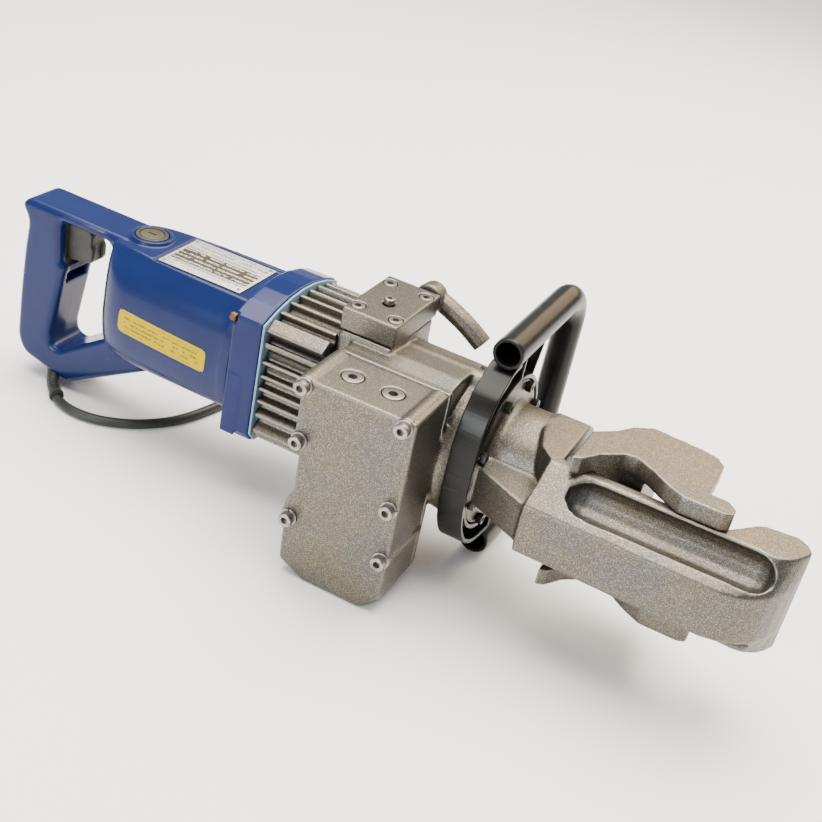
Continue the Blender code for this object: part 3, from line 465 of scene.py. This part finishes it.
# the cord: out of its relief, round on the floor, and the rest in a coil behind the tool
cordSizes = {"diameter": 7.5, "height": 3.85, "coil": (-128.0, 135.0), "radii": (49.75, 42.0, 34.25), "layer": 7.6,
             "length": 2.0, "firstAngle": 0.6, "lastAngle": 2.7, "turnSteps": 48, "shiftSteps": 15, "joinSteps": 10,
             "joinRadius": 57.6, "joinAngle": -0.35}
cordPoints = [(-284.0, -37.5), (-272.0, -41.5), (-260.0, -42.6), (-247.0, -40.6), (-234.0, -35.0), (-222.0, -27.0),
              (-212.0, -17.0), (-203.0, -4.5), (-196.5, 10.0), (-192.0, 26.0), (-188.5, 43.0), (-186.5, 60.0),
              (-185.5, 78.0), (-185.45, 96.0), (-185.45, 114.0)]
reliefPoints = [(-317, 0, -72), (-316, -2, -80), (-308, -12, -85.6), (-298, -25, -87.6), (-285.3, -36.3, -88.2)]


def cordRoute():
    base = ground + cordSizes["height"]
    line = through([(x, y, base) for x, y in cordPoints], 4)
    outer, middle, inner = cordSizes["radii"]
    order = [(outer, 0), (middle, 0), (inner, 0), (inner, 1), (middle, 1), (outer, 1), (outer, 2)]
    centre = Vector((*cordSizes["coil"], base))
    first = cordSizes["firstAngle"]
    steps, shift, approach = cordSizes["turnSteps"], cordSizes["shiftSteps"], cordSizes["joinSteps"]
    joinRadius, joinAngle = cordSizes["joinRadius"], cordSizes["joinAngle"]

    def onCoil(angle, radius, height):
        return centre + Vector((-radius * math.cos(angle), radius * math.sin(angle), height))

    for step in range(1, approach):
        share = step / approach
        ease = share * share * (3 - 2 * share)
        line.append(onCoil(joinAngle + (first - joinAngle) * share,
                           joinRadius + (outer - joinRadius) * ease + 3.6 * (1 - share), 0))
    for turn, (radius, layer) in enumerate(order):
        nextRadius, nextLayer = order[min(turn + 1, len(order) - 1)]
        for step in range(steps):
            angle = first + 2 * math.pi * step / steps
            if turn == len(order) - 1 and angle > cordSizes["lastAngle"]:
                break
            share = max(0.0, (step - steps + shift) / shift)
            ease = share * share * (3 - 2 * share)
            reach = radius + (nextRadius - radius) * ease
            if layer != nextLayer:
                reach += (2.4 if radius == outer else -2.4) * math.sin(math.pi * share)
            line.append(onCoil(angle, reach, (layer + (nextLayer - layer) * ease) * cordSizes["layer"]))
    leave = [line[-1], centre + Vector((50.5, 10, 15.2)), centre + Vector((54.3, -4, 13.5)),
             centre + Vector((54.8, -14, 10.5)), centre + Vector((54.8, -22.6, 8.35))]
    return line + through(leave, 4)[1:]


def makeCord():
    route = cordRoute()
    curve = bpy.data.curves.new("powerCord", "CURVE")
    curve.dimensions = "3D"
    curve.bevel_depth = cordSizes["diameter"] / 2 * mm
    curve.bevel_resolution = 5
    curve.use_fill_caps = True
    spline = curve.splines.new("POLY")
    spline.points.add(len(route) - 1)
    for point, place in zip(spline.points, route):
        point.co = (*spot(place), 1)
    spline.use_smooth = True
    cord = bpy.data.objects.new("powerCord", curve)
    bpy.context.scene.collection.objects.link(cord)
    curve.materials.append(cordRubber)
    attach(cord, "tool_body")
    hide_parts("power_cord", "cord_coil")
    span = sum((b - a).length for a, b in zip(route, route[1:])) * mm
    print("cord length", round(span, 3))
    return cord, spot(route[0])


def makeRelief():
    # a tapered sleeve with grooves, and a thicker ring where it ends
    line = through(reliefPoints, 16)

    def radii(share):
        groove = 0.55 if 0.12 < share < 0.9 and int(share * 60) % 3 == 0 else 0.0
        ring = 1.1 if share > 0.95 else 0.0
        size = 6.4 - 2.0 * share - groove + ring
        return size, size

    relief = skin("strainRelief", tubeRings(line, radii, 28))
    return dress(relief, "tool_body", cordRubber, "black_rubber", "cord_gland", angle=50)


def makePlug():
    sizes = {"body": [(0, 4.6), (3, 5.2), (10, 7.6), (15, 11.0), (22, 11.4), (34, 11.6), (42, 11.2), (44, 10.2)],
             "ribs": (4, 9), "pin": 2.4}
    start = Vector((cordSizes["coil"][0] + 54.8, cordSizes["coil"][1] - 23, ground + 12.2))
    rings = []
    for point in through([(a, r, 0) for a, r in sizes["body"]], 5):
        rib = 0.5 if 3 < point.x < 11 and int(point.x * 1.25) % 2 else 0.0
        rings.append([start + Vector(((point.y - rib) * math.cos(a), -point.x, (point.y - rib) * math.sin(a)))
                      for a in (2 * math.pi * k / 40 for k in range(40))])
    plug = skin("mainsPlug", rings)
    for side in (-1, 1):
        pin = rod("pin", (start.x + 5.5 * side, start.y - 40, start.z), (0, -1, 0), 22.5, sizes["pin"], 20)
        soften(pin, 0.9)
        pin.name = "plugPin" + ("Left" if side < 0 else "Right")
        dress(pin, "tool_body", zincSteel, "zinc_screw", angle=40)
    dress(plug, "tool_body", moulded, "black_rubber", "plug", angle=45)
    return [plug, bpy.data.objects["plugPinLeft"], bpy.data.objects["plugPinRight"]]


def makeTie():
    sizes = {"width": 8, "thick": 1.2, "low": 0.6, "high": 23.6, "inner": 29.6, "outer": 54.4}
    corners = roundCorners([(sizes["inner"], sizes["low"]), (sizes["outer"], sizes["low"]),
                            (sizes["outer"], sizes["high"]), (sizes["inner"], sizes["high"])], 5)
    centre = Vector((*cordSizes["coil"], ground))
    rings = []
    for width, grow in ((-1, 0), (-1, 1), (1, 1), (1, 0)):
        ring = []
        for before, at, after in zip([corners[-1], *corners], corners, [*corners[1:], corners[0]]):
            out = Vector((after.y - before.y, before.x - after.x)).normalized() * sizes["thick"] * grow
            ring.append(centre + Vector((width * sizes["width"] / 2, at.x + out.x, max(0.05, at.y + out.y))))
        rings.append(ring)
    around = len(corners)
    bpy.ops.mesh.primitive_grid_add(x_subdivisions=around, y_subdivisions=4, size=1)
    tie = bpy.context.object
    for index, vertex in enumerate(tie.data.vertices):
        row, column = divmod(index, around + 1)
        vertex.co = spot(rings[row % 4][column % around])
    tie.name = "coilTie"
    return dress(closeMesh(tie, 0.000005), "tool_body", blackPlastic, "black_plastic", angle=40)


powerCord, cordExit = makeCord()
cordPieces = [makeRelief(), *makePlug(), makeTie()]
print("cord laid")


# motor housing: a smooth loft, the D-handle, the brush bosses, and the cuts
housing = {"halfWidth": 19.0, "edge": 5.0, "grain": 0.95, "passes": 3, "brushX": -237.0,
           "stations": [(-134, 30, 48.4, -44, 51), (-141, 30, 48.3, -44, 51), (-146, 29.8, 47.6, -43.6, 51),
                        (-180, 29, 47.2, -43.6, 51), (-214, 27, 46.2, -43.4, 51), (-232, 25, 44.6, -42.6, 51),
                        (-243, 23, 40.5, -41, 50.6), (-250, 21, 34.5, -39, 50), (-254.2, 19, 28, -36.5, 49),
                        (-255.6, 17, 23, -33, 47)],
           "outline": [(-222, 51), (-335, 52.5), (-341, 47), (-334, 36), (-337, 12), (-339.5, -24), (-341, -64),
                       (-334, -77), (-291, -87), (-212, -43), (-205, -20), (-205, 40)],
           "hollow": (-248, 120, 38.2), "vents": {"count": 5, "top": 26, "pitch": 9.5, "half": 1.9},
           "opening": [(-257, 38), (-263, 45), (-304, 46), (-303, 11), (-299, 8), (-310, -52), (-308, -60),
                       (-299, -62), (-255, -32)]}


def motorRing(x, halfTop, halfSide, bottom, top):
    shoulder = halfTop + (halfSide - halfTop) * 0.72
    half = [(0, top), (halfTop * 0.5, top), (halfTop - 3, top), (halfTop + 0.6, top - 0.7), (halfTop + 2.6, top - 3.2),
            (shoulder, 34), (halfSide - 0.6, 14), (halfSide, -8), (halfSide * 0.86, -28), (halfSide * 0.5, bottom + 3),
            (0, bottom)]
    right = through([(x, y, z) for y, z in half], 5)
    return right + [Vector((x, -p.y, p.z)) for p in reversed(right[1:-1])]


def makeHousing():
    stations = through([(x, *rest[:2]) for x, *rest in housing["stations"]], 3)
    heights = through([(x, *rest[2:]) for x, *rest in housing["stations"]], 3)
    shell = skin("housingShell", [motorRing(a.x, a.y, a.z, b.y, b.z) for a, b in zip(stations, heights)])
    handle = slab("handleBow", roundCorners(housing["outline"], 7), housing["halfWidth"], housing["edge"],
                  hole=roundCorners(housing["opening"], 7))
    combine(shell, handle)
    brushX = housing["brushX"]
    for sign, top in ((1, 54.0), (-1, 46.0)):
        boss = rod("boss", (brushX, 0, 20 * sign), (0, 0, sign), top - 20, 15.9, 72)
        soften(boss, 1.6, 3)
        combine(shell, boss)
        seat = rod("seat", (brushX, 0, (top - 4.6) * sign), (0, 0, sign), 12, 12.6, 64)
        combine(shell, seat, "DIFFERENCE")
    rear, length, radius = housing["hollow"]
    hollow = rod("hollow", (rear, 0, 0), (1, 0, 0), length, radius, 64)
    recess = block("recess", (-216.6, -26.5, 49.3), (-128, 26.5, 60))
    switchRoom = block("switchRoom", (-333, -12, -6), (-300, 12, 43.2))
    carve(shell, hollow, recess, switchRoom)
    vents = housing["vents"]
    for number in range(vents["count"]):
        z = vents["top"] - number * vents["pitch"]
        for side in (-1, 1):
            low, high = (-262, 19 * side - 7, z - vents["half"]), (-245, 19 * side + 7, z + vents["half"])
            carve(shell, block("vent", low, high))
    screwSeat = rod("screwSeat", (-136, -48.6, 46), (1, 0, 0), 6, 4.2, 24)
    carve(shell, screwSeat)
    cast(shell, housing["grain"], housing["passes"])
    for side, name, node in ((1, "housingLeft", "handle_shell_left"), (-1, "housingRight", "handle_shell_right")):
        half = bpy.data.objects.new(name, shell.data.copy())
        bpy.context.scene.collection.objects.link(half)
        only(half)
        bpy.ops.object.mode_set(mode="EDIT")
        bpy.ops.mesh.select_all(action="SELECT")
        bpy.ops.mesh.bisect(plane_co=spot((0, 0.06 * side, 0)), plane_no=(0, side, 0), use_fill=True, clear_inner=True)
        bpy.ops.object.mode_set(mode="OBJECT")
        dress(half, "tool_body", housingBlue, "housing_blue", node, angle=50)
    bpy.data.objects.remove(shell, do_unlink=True)


def makeBrushCaps():
    brushX = housing["brushX"]
    sizes = {"radius": 12, "rise": 4.4, "disc": 8.6, "slot": (6.6, 1.5)}
    for sign, seat, tag in ((1, 49.8, "Top"), (-1, 41.8, "Bottom")):
        cap = rod("brushCap" + tag, (brushX, 0, seat * sign), (0, 0, sign), sizes["rise"], sizes["radius"], 72)
        soften(cap, 0.8)
        well = rod("well", (brushX, 0, (seat + sizes["rise"] - 1.1) * sign), (0, 0, sign), 4, sizes["disc"] + 0.5, 64)
        carve(cap, well)
        dress(cap, "tool_body", blackPlastic, "black_plastic", "brush_cap_" + tag.lower(), angle=40)
        disc = rod("brushCapDisc" + tag, (brushX, 0, (seat + 2.6) * sign), (0, 0, sign), 1.8, sizes["disc"], 64)
        soften(disc, 0.5)
        long, wide = sizes["slot"]
        low = (brushX - long / 2, -wide / 2, (seat + 3.2) * sign)
        high = (brushX + long / 2, wide / 2, (seat + 6) * sign)
        slot = block("slot", [min(a, b) for a, b in zip(low, high)], [max(a, b) for a, b in zip(low, high)])
        carve(disc, slot)
        dress(disc, "tool_body", oliveCap, "black_plastic", angle=40)


def makeTrigger():
    outline = roundCorners([(-305, 11.5), (-284, 14.5), (-281.5, 18), (-281.5, 27), (-283.4, 29.5), (-282.6, 37),
                            (-285.5, 40.8), (-305, 41.5)], 3)
    trigger = slab("triggerKey", outline, 8.5, 1.6)
    groove = block("groove", (-283, -3.5, 13), (-279, 3.5, 42))
    carve(trigger, groove)
    cast(trigger, 0.45, 3)
    dress(trigger, "trigger", blackPlastic, "black_plastic", "trigger")


makeHousing()
makeBrushCaps()
makeTrigger()
print("housing modelled")


def makeNameplate():
    sizes = {"low": (-214, -24, 49.6), "high": (-146, 24, 50.5)}
    plate = block("namePlate", sizes["low"], sizes["high"])
    only(plate)
    bpy.ops.object.mode_set(mode="EDIT")
    bpy.ops.mesh.select_all(action="SELECT")
    bpy.ops.mesh.subdivide(number_cuts=3)
    bpy.ops.object.mode_set(mode="OBJECT")
    soften(plate, 0.25, 2)
    low, high = spot(sizes["low"]), spot(sizes["high"])
    box = ((low.x, high.x), (low.y, high.y), "Y", 0.0)
    finish = printedFinish("etchedPlate", tone(0.60, 0.585, 0.55), tone(0.06, 0.05, 0.035), box, 9, 0.035, 0.55,
                           (0.22, 0.66, tone(0.075, 0.063, 0.045)))
    dress(plate, "tool_body", finish, "nameplate_silver", "nameplate", angle=40)
    for x in (-211, -149):
        for y in (-21, 21):
            pin = rod(f"plateRivet{int(x)}{int(y)}".replace("-", "m"), (x, y, 50.3), (0, 0, 1), 0.9, 1.3, 24)
            soften(pin, 0.5)
            dress(pin, "tool_body", zincSteel, "zinc_screw", angle=40)


def makeRatingLabel():
    # rounded sticker, pressed on to the curved side of the motor
    sizes = {"corners": [(-227.6, -2.6), (-152.4, -6.2), (-152.6, 10.8), (-227.8, 14.4)], "lift": 0.15, "thick": 0.35}
    bpy.ops.mesh.primitive_grid_add(x_subdivisions=48, y_subdivisions=12, size=1)
    label = bpy.context.object
    corners = [Vector((*c, 0)) for c in sizes["corners"]]
    for vertex in label.data.vertices:
        u, v = vertex.co.x + 0.5, vertex.co.y + 0.5
        cornerU, cornerV = min(u, 1 - u) * 75, min(v, 1 - v) * 17
        if cornerU < 1.6 and cornerV < 1.6:
            u += (0.7 / 75) * (1 if u < 0.5 else -1)
            v += (0.7 / 17) * (1 if v < 0.5 else -1)
        flat = (corners[0] * (1 - u) + corners[1] * u) * (1 - v) + (corners[3] * (1 - u) + corners[2] * u) * v
        vertex.co = spot((flat.x, -70, flat.y))
    label.name = "ratingLabel"
    modify(label, "SHRINKWRAP", target=bpy.data.objects["housingRight"], wrap_method="PROJECT", use_project_y=True,
           use_positive_direction=True, use_negative_direction=False, offset=sizes["lift"] * mm,
           wrap_mode="ABOVE_SURFACE", use_project_z=False, use_project_x=False)
    modify(label, "SMOOTH", factor=0.5, iterations=4, use_x=False, use_z=False)
    only(label)
    bpy.ops.object.mode_set(mode="EDIT")
    bpy.ops.mesh.select_all(action="SELECT")
    bpy.ops.mesh.normals_make_consistent(inside=False)
    bpy.ops.object.mode_set(mode="OBJECT")
    if label.data.polygons[0].normal.y > 0:
        label.data.flip_normals()
    modify(label, "SOLIDIFY", thickness=sizes["thick"] * mm, offset=1)
    low, high = spot((-228, 0, -2.6)), spot((-152.4, 0, 14.4))
    finish = printedFinish("yellowLabel", tone(0.50, 0.365, 0.0), tone(0.10, 0.045, 0.0),
                           ((low.x, high.x), (low.z, high.z), "Z", 0.048), 5, 0.07, wordGap=0.46)
    dress(label, "tool_body", finish, "label_yellow", "rating_label", angle=40)


makeNameplate()
makeRatingLabel()
print("plates made")


def makeCollar():
    collar = cloneNode("motor_collar", "motorCollar")
    panel = block("panel", (-133.4, -50.55, -43), (-121.5, -49, 5))
    combine(collar, panel)
    carve(collar, rod("screwSeat", (-134, -47.8, 46.2), (1, 0, 0), 3.2, 4.0, 24))
    cast(collar, 0.85, 8)
    dress(collar, "tool_body", collarBlue, "collar_blue", "motor_collar")
    screw = rod("collarScrew", (-136.2, -48.2, 46.2), (1, 0, 0), 5, 3.0, 32)
    soften(screw, 0.8)
    carve(screw, block("slot", (-137, -48.9, 40), (-135, -47.5, 52)))
    dress(screw, "tool_body", rustyScrew, "zinc_screw", angle=40)


def makeCastings():
    # each casting starts from its CAD solid: one skin of even faces, relaxed to a casting's soft edges
    rounds = {"pump_case": ("pumpCase", 0.9, 4, silverCasting, "cast_aluminium", "tool_body"),
              "valve_block": ("valveBlock", 0.6, 4, fineCasting, "cast_steel", "tool_body"),
              "jaw_frame": ("headCasting", 1.05, 9, silverCasting, "cast_steel", "tool_body"),
              "moving_jaw": ("jawCasting", 0.95, 9, silverCasting, "cast_steel", "ram"),
              "release_lever": ("releaseLever", 0.6, 5, silverCasting, "cast_steel", "release_lever")}
    for node, (name, grain, passes, finish, slot, body) in rounds.items():
        piece = cloneNode(node, name)
        cast(piece, grain, passes)
        dress(piece, body, finish, slot, node)
        print(name, len(piece.data.polygons))


def makeCylinder():
    shoulder = {"steps": 5, "x": 12, "back": 5, "length": 19, "tip": 50.5, "thinner": 1.6, "flare": 5,
                "bore": 33.2, "boreLength": 94.5}
    cylinder = cloneNode("cylinder_body", "cylinderCasting")
    # a flared shoulder runs from the case's face up to the flange
    for step in range(shoulder["steps"]):
        tip = shoulder["tip"] - step * shoulder["thinner"]
        start = (shoulder["x"] - step * shoulder["back"], -4 - step * 1.2, 0)
        combine(cylinder, rod("fairing", start, (1, 0, 0), shoulder["length"], tip - shoulder["flare"], 64, tip))
    carve(cylinder, rod("bore", (-57, 0, 0), (1, 0, 0), shoulder["boreLength"], shoulder["bore"], 64))
    cast(cylinder, 1.1, 7)
    dress(cylinder, "tool_body", silverCasting, "cast_steel", "cylinder_body")
    print("cylinder", len(cylinder.data.polygons))


def makeOilCase():
    case = cloneNode("reservoir_case", "oilCase")
    dimple = rod("dimple", (-17, -98.6, 50), (0, 1, 0), 2, 1.2, 16)
    carve(case, dimple)
    cast(case, 1.0, 4)
    dress(case, "tool_body", silverCasting, "cast_aluminium", "reservoir_case")
    print("case", len(case.data.polygons))


makeCollar()
makeCastings()
makeCylinder()
makeOilCase()
print("castings made")


# screws: each kind is modelled once at the world's centre, along +Z, and planted
def capScrew(radius, height, socket, knurl=0.035, chamfer=0.7):
    bpy.ops.mesh.primitive_cylinder_add(vertices=72, radius=radius * mm, depth=height * mm,
                                        location=(0, 0, height * mm / 2))
    screw = intoMesh(bpy.context.object, "screw")
    soften(screw, chamfer, 3, 60)
    for vertex in screw.data.vertices:
        flat = Vector((vertex.co.x, vertex.co.y))
        if 0.05 * mm < vertex.co.z < (height - chamfer) * mm * 1.01 and flat.length > radius * mm * 0.97:
            turn = round(math.degrees(math.atan2(flat.y, flat.x)) / 5)
            if turn % 2:
                vertex.co.x *= 1 - knurl
                vertex.co.y *= 1 - knurl
    bpy.ops.mesh.primitive_cylinder_add(vertices=6, radius=socket * mm, depth=height * mm,
                                        location=(0, 0, height * mm * 0.86))
    hexagon = intoMesh(bpy.context.object, "hexagon")
    return combine(screw, hexagon, "DIFFERENCE")


def springWasher(inner, outer, thick):
    bpy.ops.mesh.primitive_cylinder_add(vertices=64, radius=outer * mm, depth=thick * mm,
                                        location=(0, 0, thick * mm / 2))
    washer = intoMesh(bpy.context.object, "washer")
    soften(washer, 0.3, 2)
    bpy.ops.mesh.primitive_cylinder_add(vertices=48, radius=inner * mm, depth=thick * mm * 4)
    combine(washer, intoMesh(bpy.context.object, "hole"), "DIFFERENCE")
    bpy.ops.mesh.primitive_cube_add(size=1, location=(outer * mm, 0, 0), rotation=(math.radians(25), 0, 0))
    slit = bpy.context.object
    slit.scale = (outer * 2 * mm, 0.8 * mm, thick * 8 * mm)
    return combine(washer, intoMesh(slit, "slit"), "DIFFERENCE")


screwSizes = {"caseScrew": (4.9, 5.4, 2.7), "washer": (3.2, 5.9, 1.3), "blockScrew": (4.75, 2.9, 2.5, 0.0, 0.4),
              "oilPlug": (7.2, 5.4, 3.4, 0.0, 0.5), "flangeBolt": (3.9, 4.4, 2.1, 0.05, 0.5),
              "boltCircle": 48, "boltCount": 8, "modelledBolts": 6}


def middleOf(node):
    low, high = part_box(node)
    return [((a + b) / 2 - c) / mm for a, b, c in zip(low, high, home)]


def plantScrews():
    caseScrew = capScrew(*screwSizes["caseScrew"])
    washer = springWasher(*screwSizes["washer"])
    for number in range(1, 7):
        x, _, z = middleOf(f"case_screw_{number}")
        spin = 37 * number
        screw = plant(caseScrew, f"caseScrew{number}", (x, -99.3, z), (0, -1, 0), spin)
        dress(screw, "tool_body", zincSteel, "zinc_screw", f"case_screw_{number}", angle=35)
        ring = plant(washer, f"springWasher{number}", (x, -98.05, z), (0, -1, 0), spin * 2)
        dress(ring, "tool_body", zincSteel, "zinc_screw", angle=35)
    blockScrew = capScrew(*screwSizes["blockScrew"])
    for number in range(1, 5):
        x, y, _ = middleOf(f"block_screw_{number}")
        screw = plant(blockScrew, f"blockScrew{number}", (x, y, 72.9), (0, 0, 1), 23 * number)
        dress(screw, "tool_body", zincSteel, "black_screw", f"block_screw_{number}", angle=35)
    oilPlug = capScrew(*screwSizes["oilPlug"])
    for number in (1, 2):
        x, y, _ = middleOf(f"oil_plug_{number}")
        screw = plant(oilPlug, f"oilPlug{number}", (x, y, 49.4), (0, 0, 1), 31 * number)
        dress(screw, "tool_body", zincSteel, "zinc_screw", f"oil_plug_{number}", angle=35)
    flangeBolt = capScrew(*screwSizes["flangeBolt"])
    circle = screwSizes["boltCircle"]
    for number in range(1, screwSizes["boltCount"] + 1):
        angle = math.radians(112.5 + 45 * (number - 1))
        at = (55.3, circle * math.cos(angle), circle * math.sin(angle))
        screw = plant(flangeBolt, f"flangeBolt{number}", at, (1, 0, 0), 17 * number)
        replaced = [f"flange_bolt_{number}"] if number <= screwSizes["modelledBolts"] else []
        dress(screw, "tool_body", blackOxide, "black_screw", *replaced, angle=35)
    stud = rod("reliefStud", (-43.6, -6, 76.2), (0, 0, 1), 4.0, 3.8, 48)
    soften(stud, 0.7)
    carve(stud, rod("hexagon", (-43.6, -6, 78.4), (0, 0, 1), 4, 1.7, 6))
    dress(stud, "tool_body", zincSteel, "zinc_screw", "relief_screw", angle=35)
    for pattern in (caseScrew, washer, blockScrew, oilPlug, flangeBolt):
        bpy.data.objects.remove(pattern, do_unlink=True)


plantScrews()
print("screws planted")


# front handle: the clamp band with its straps, and the bent tube
bandSizes = {"rear": 37.5, "front": 55.5, "inner": 53.1, "outer": 56.2, "thick": 3.0,
             "straps": ([[(-5, 69.7), (-17, 68.6), (-27, 63.2), (-38, 56), (-48, 42), (-53.6, 24), (-54.6, 6)],
                         [(2, 54), (2, 71)], [(24, 48.5), (34, 71)]],
                        [[(13, -70.9), (-2, -69.3), (-18, -65), (-34, -55), (-46, -40), (-53, -22), (-54.6, -6)],
                         [(14, -53), (14, -72)], [(24, -48.5), (34, -72)]])}


def stripOutline(path, thick):
    line = through([(y, z, 0) for y, z in path], 6)
    outer, inner = [], []
    for before, point, after in zip([line[0], *line], line, [*line[1:], line[-1]]):
        along = (after - before).normalized()
        across = Vector((-along.y, along.x, 0)) * thick / 2
        outer.append((point + across)[:2])
        inner.append((point - across)[:2])
    return outer + inner[::-1]


def makeBand():
    rear, front = bandSizes["rear"], bandSizes["front"]
    middle, half = (rear + front) / 2, (front - rear) / 2
    band = rod("clampBand", (rear, 0, 0), (1, 0, 0), front - rear, bandSizes["outer"], 128)
    carve(band, rod("hole", (rear - 5, 0, 0), (1, 0, 0), front - rear + 10, bandSizes["inner"], 128))
    for paths in bandSizes["straps"]:
        for path in paths:
            outline = stripOutline(path, bandSizes["thick"])
            combine(band, slab("strap", outline, half, 0.02, middle=(middle, 0, 0), flat="YZ"))
    modify(band, "REMESH", mode="VOXEL", voxel_size=0.55 * mm)
    modify(band, "SMOOTH", factor=0.5, iterations=3)
    dress(band, "tool_body", blackEnamel, "black_enamel", "handle_band")
    print("band", len(band.data.polygons))


def makeTube():
    sizes = {"x": 49, "radius": 10.5, "wall": 2.3, "top": 82, "bottom": -83, "far": 108, "bend": 26}
    bend = sizes["bend"]
    turnY = sizes["far"] - bend
    line = [(sizes["x"], -22 + step * 4, sizes["top"]) for step in range(26)]
    line += [(sizes["x"], turnY + bend * math.sin(a), sizes["top"] - bend + bend * math.cos(a))
             for a in (math.pi / 2 * i / 14 for i in range(15))]
    line += [(sizes["x"], turnY + bend * math.cos(a), sizes["bottom"] + bend - bend * math.sin(a))
             for a in (math.pi / 2 * i / 14 for i in range(15))]
    line += [(sizes["x"], turnY - step * 3.65, sizes["bottom"]) for step in range(1, 21)]
    curve = bpy.data.curves.new("handleTube", "CURVE")
    curve.dimensions = "3D"
    curve.bevel_depth = (sizes["radius"] - sizes["wall"]) * mm
    curve.bevel_resolution = 10
    spline = curve.splines.new("POLY")
    spline.points.add(len(line) - 1)
    for point, place in zip(spline.points, line):
        point.co = (*spot(place), 1)
    tube = bpy.data.objects.new("handleTube", curve)
    bpy.context.scene.collection.objects.link(tube)
    only(tube)
    bpy.ops.object.convert(target="MESH")
    tube = bpy.context.object
    modify(tube, "SOLIDIFY", thickness=sizes["wall"] * mm, offset=1, use_even_offset=True)
    soften(tube, 0.5, 2, 60)
    dress(tube, "tool_body", blackEnamel, "black_enamel", "handle_tube", angle=40)


makeBand()
makeTube()
print("front handle made")


def makeSprings():
    # each spring is a copy of its CAD coil with its own mesh; the joint, axis and stroke it shortens with are listed
    # but not used
    springs = {"return_spring": ("returnSpring", "ram_slide", (1, 0, 0), 55),
               "pump_spring": ("pumpSpring", "pump_piston_slide", (0, -1, 0), 6)}
    for node, (name, joint, axis, stroke) in springs.items():
        spring = dress(cloneNode(node, name), "tool_body", zincSteel, "zinc_screw", node, angle=40)
        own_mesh(spring)


makeSprings()
print("springs made")

# the CAD pieces that stay get their finish by the record's slot
finishes = {"cast_steel": silverCasting, "cast_aluminium": silverCasting, "black_enamel": blackEnamel,
            "black_plastic": blackPlastic, "black_rubber": cordRubber, "bright_steel": groundSteel,
            "zinc_screw": zincSteel, "black_screw": blackOxide, "brass": brassFinish, "carbon": carbonBlack,
            "gasket": gasketSheet, "housing_blue": housingBlue, "collar_blue": collarBlue}
for row in frame["record"]["subparts"]:
    node = frame["nodes"][row["node"]]
    if node.hide_render:
        continue
    node.data.materials.clear()
    node.data.materials.append(finishes[row["material_slot"]])
print("inner pieces finished")


# studio: a pale floor and soft light
studio = {"floor": tone(0.96, 0.96, 0.96), "air": (0.95, 0.97, 1.0), "airStrength": 0.5,
          "lamps": {"overhead": ((-150, 350, 1900), (0, 0, 0), 2.2, 190, (1.0, 0.93, 0.83)),
                    "back": ((300, 1500, 950), (40, 0, 20), 1.1, 19, (1.0, 0.72, 0.40)),
                    "front": ((-500, -1900, 700), (0, 0, 0), 0.9, 33, (0.97, 0.99, 1.0))}}


def makeStudio():
    bpy.ops.mesh.primitive_plane_add(size=12, location=(0, 0, 0))
    floor = bpy.context.object
    floor.name = "paleFloor"
    paint = Finish("paleFloor", Roughness=0.6)
    cloud = paint.blend(paint.noise(400, 2), studio["floor"], tone(0.9, 0.9, 0.9))
    floor.data.materials.append(paint.feed(Base_Color=cloud))
    world = bpy.data.worlds.new("studioAir")
    bpy.context.scene.world = world
    world.use_nodes = True
    air = world.node_tree.nodes["Background"]
    air.inputs["Color"].default_value = (*studio["air"], 1)
    air.inputs["Strength"].default_value = studio["airStrength"]
    for name, (place, target, size, power, colour) in studio["lamps"].items():
        bpy.ops.object.light_add(type="AREA", location=spot(place))
        lamp = bpy.context.object
        lamp.name = name + "Lamp"
        lamp.data.size = size
        lamp.data.energy = power
        lamp.data.color = colour
        lamp.rotation_mode = "QUATERNION"
        lamp.rotation_quaternion = (spot(target) - lamp.location).to_track_quat("-Z", "Y")


makeStudio()
print("studio set")
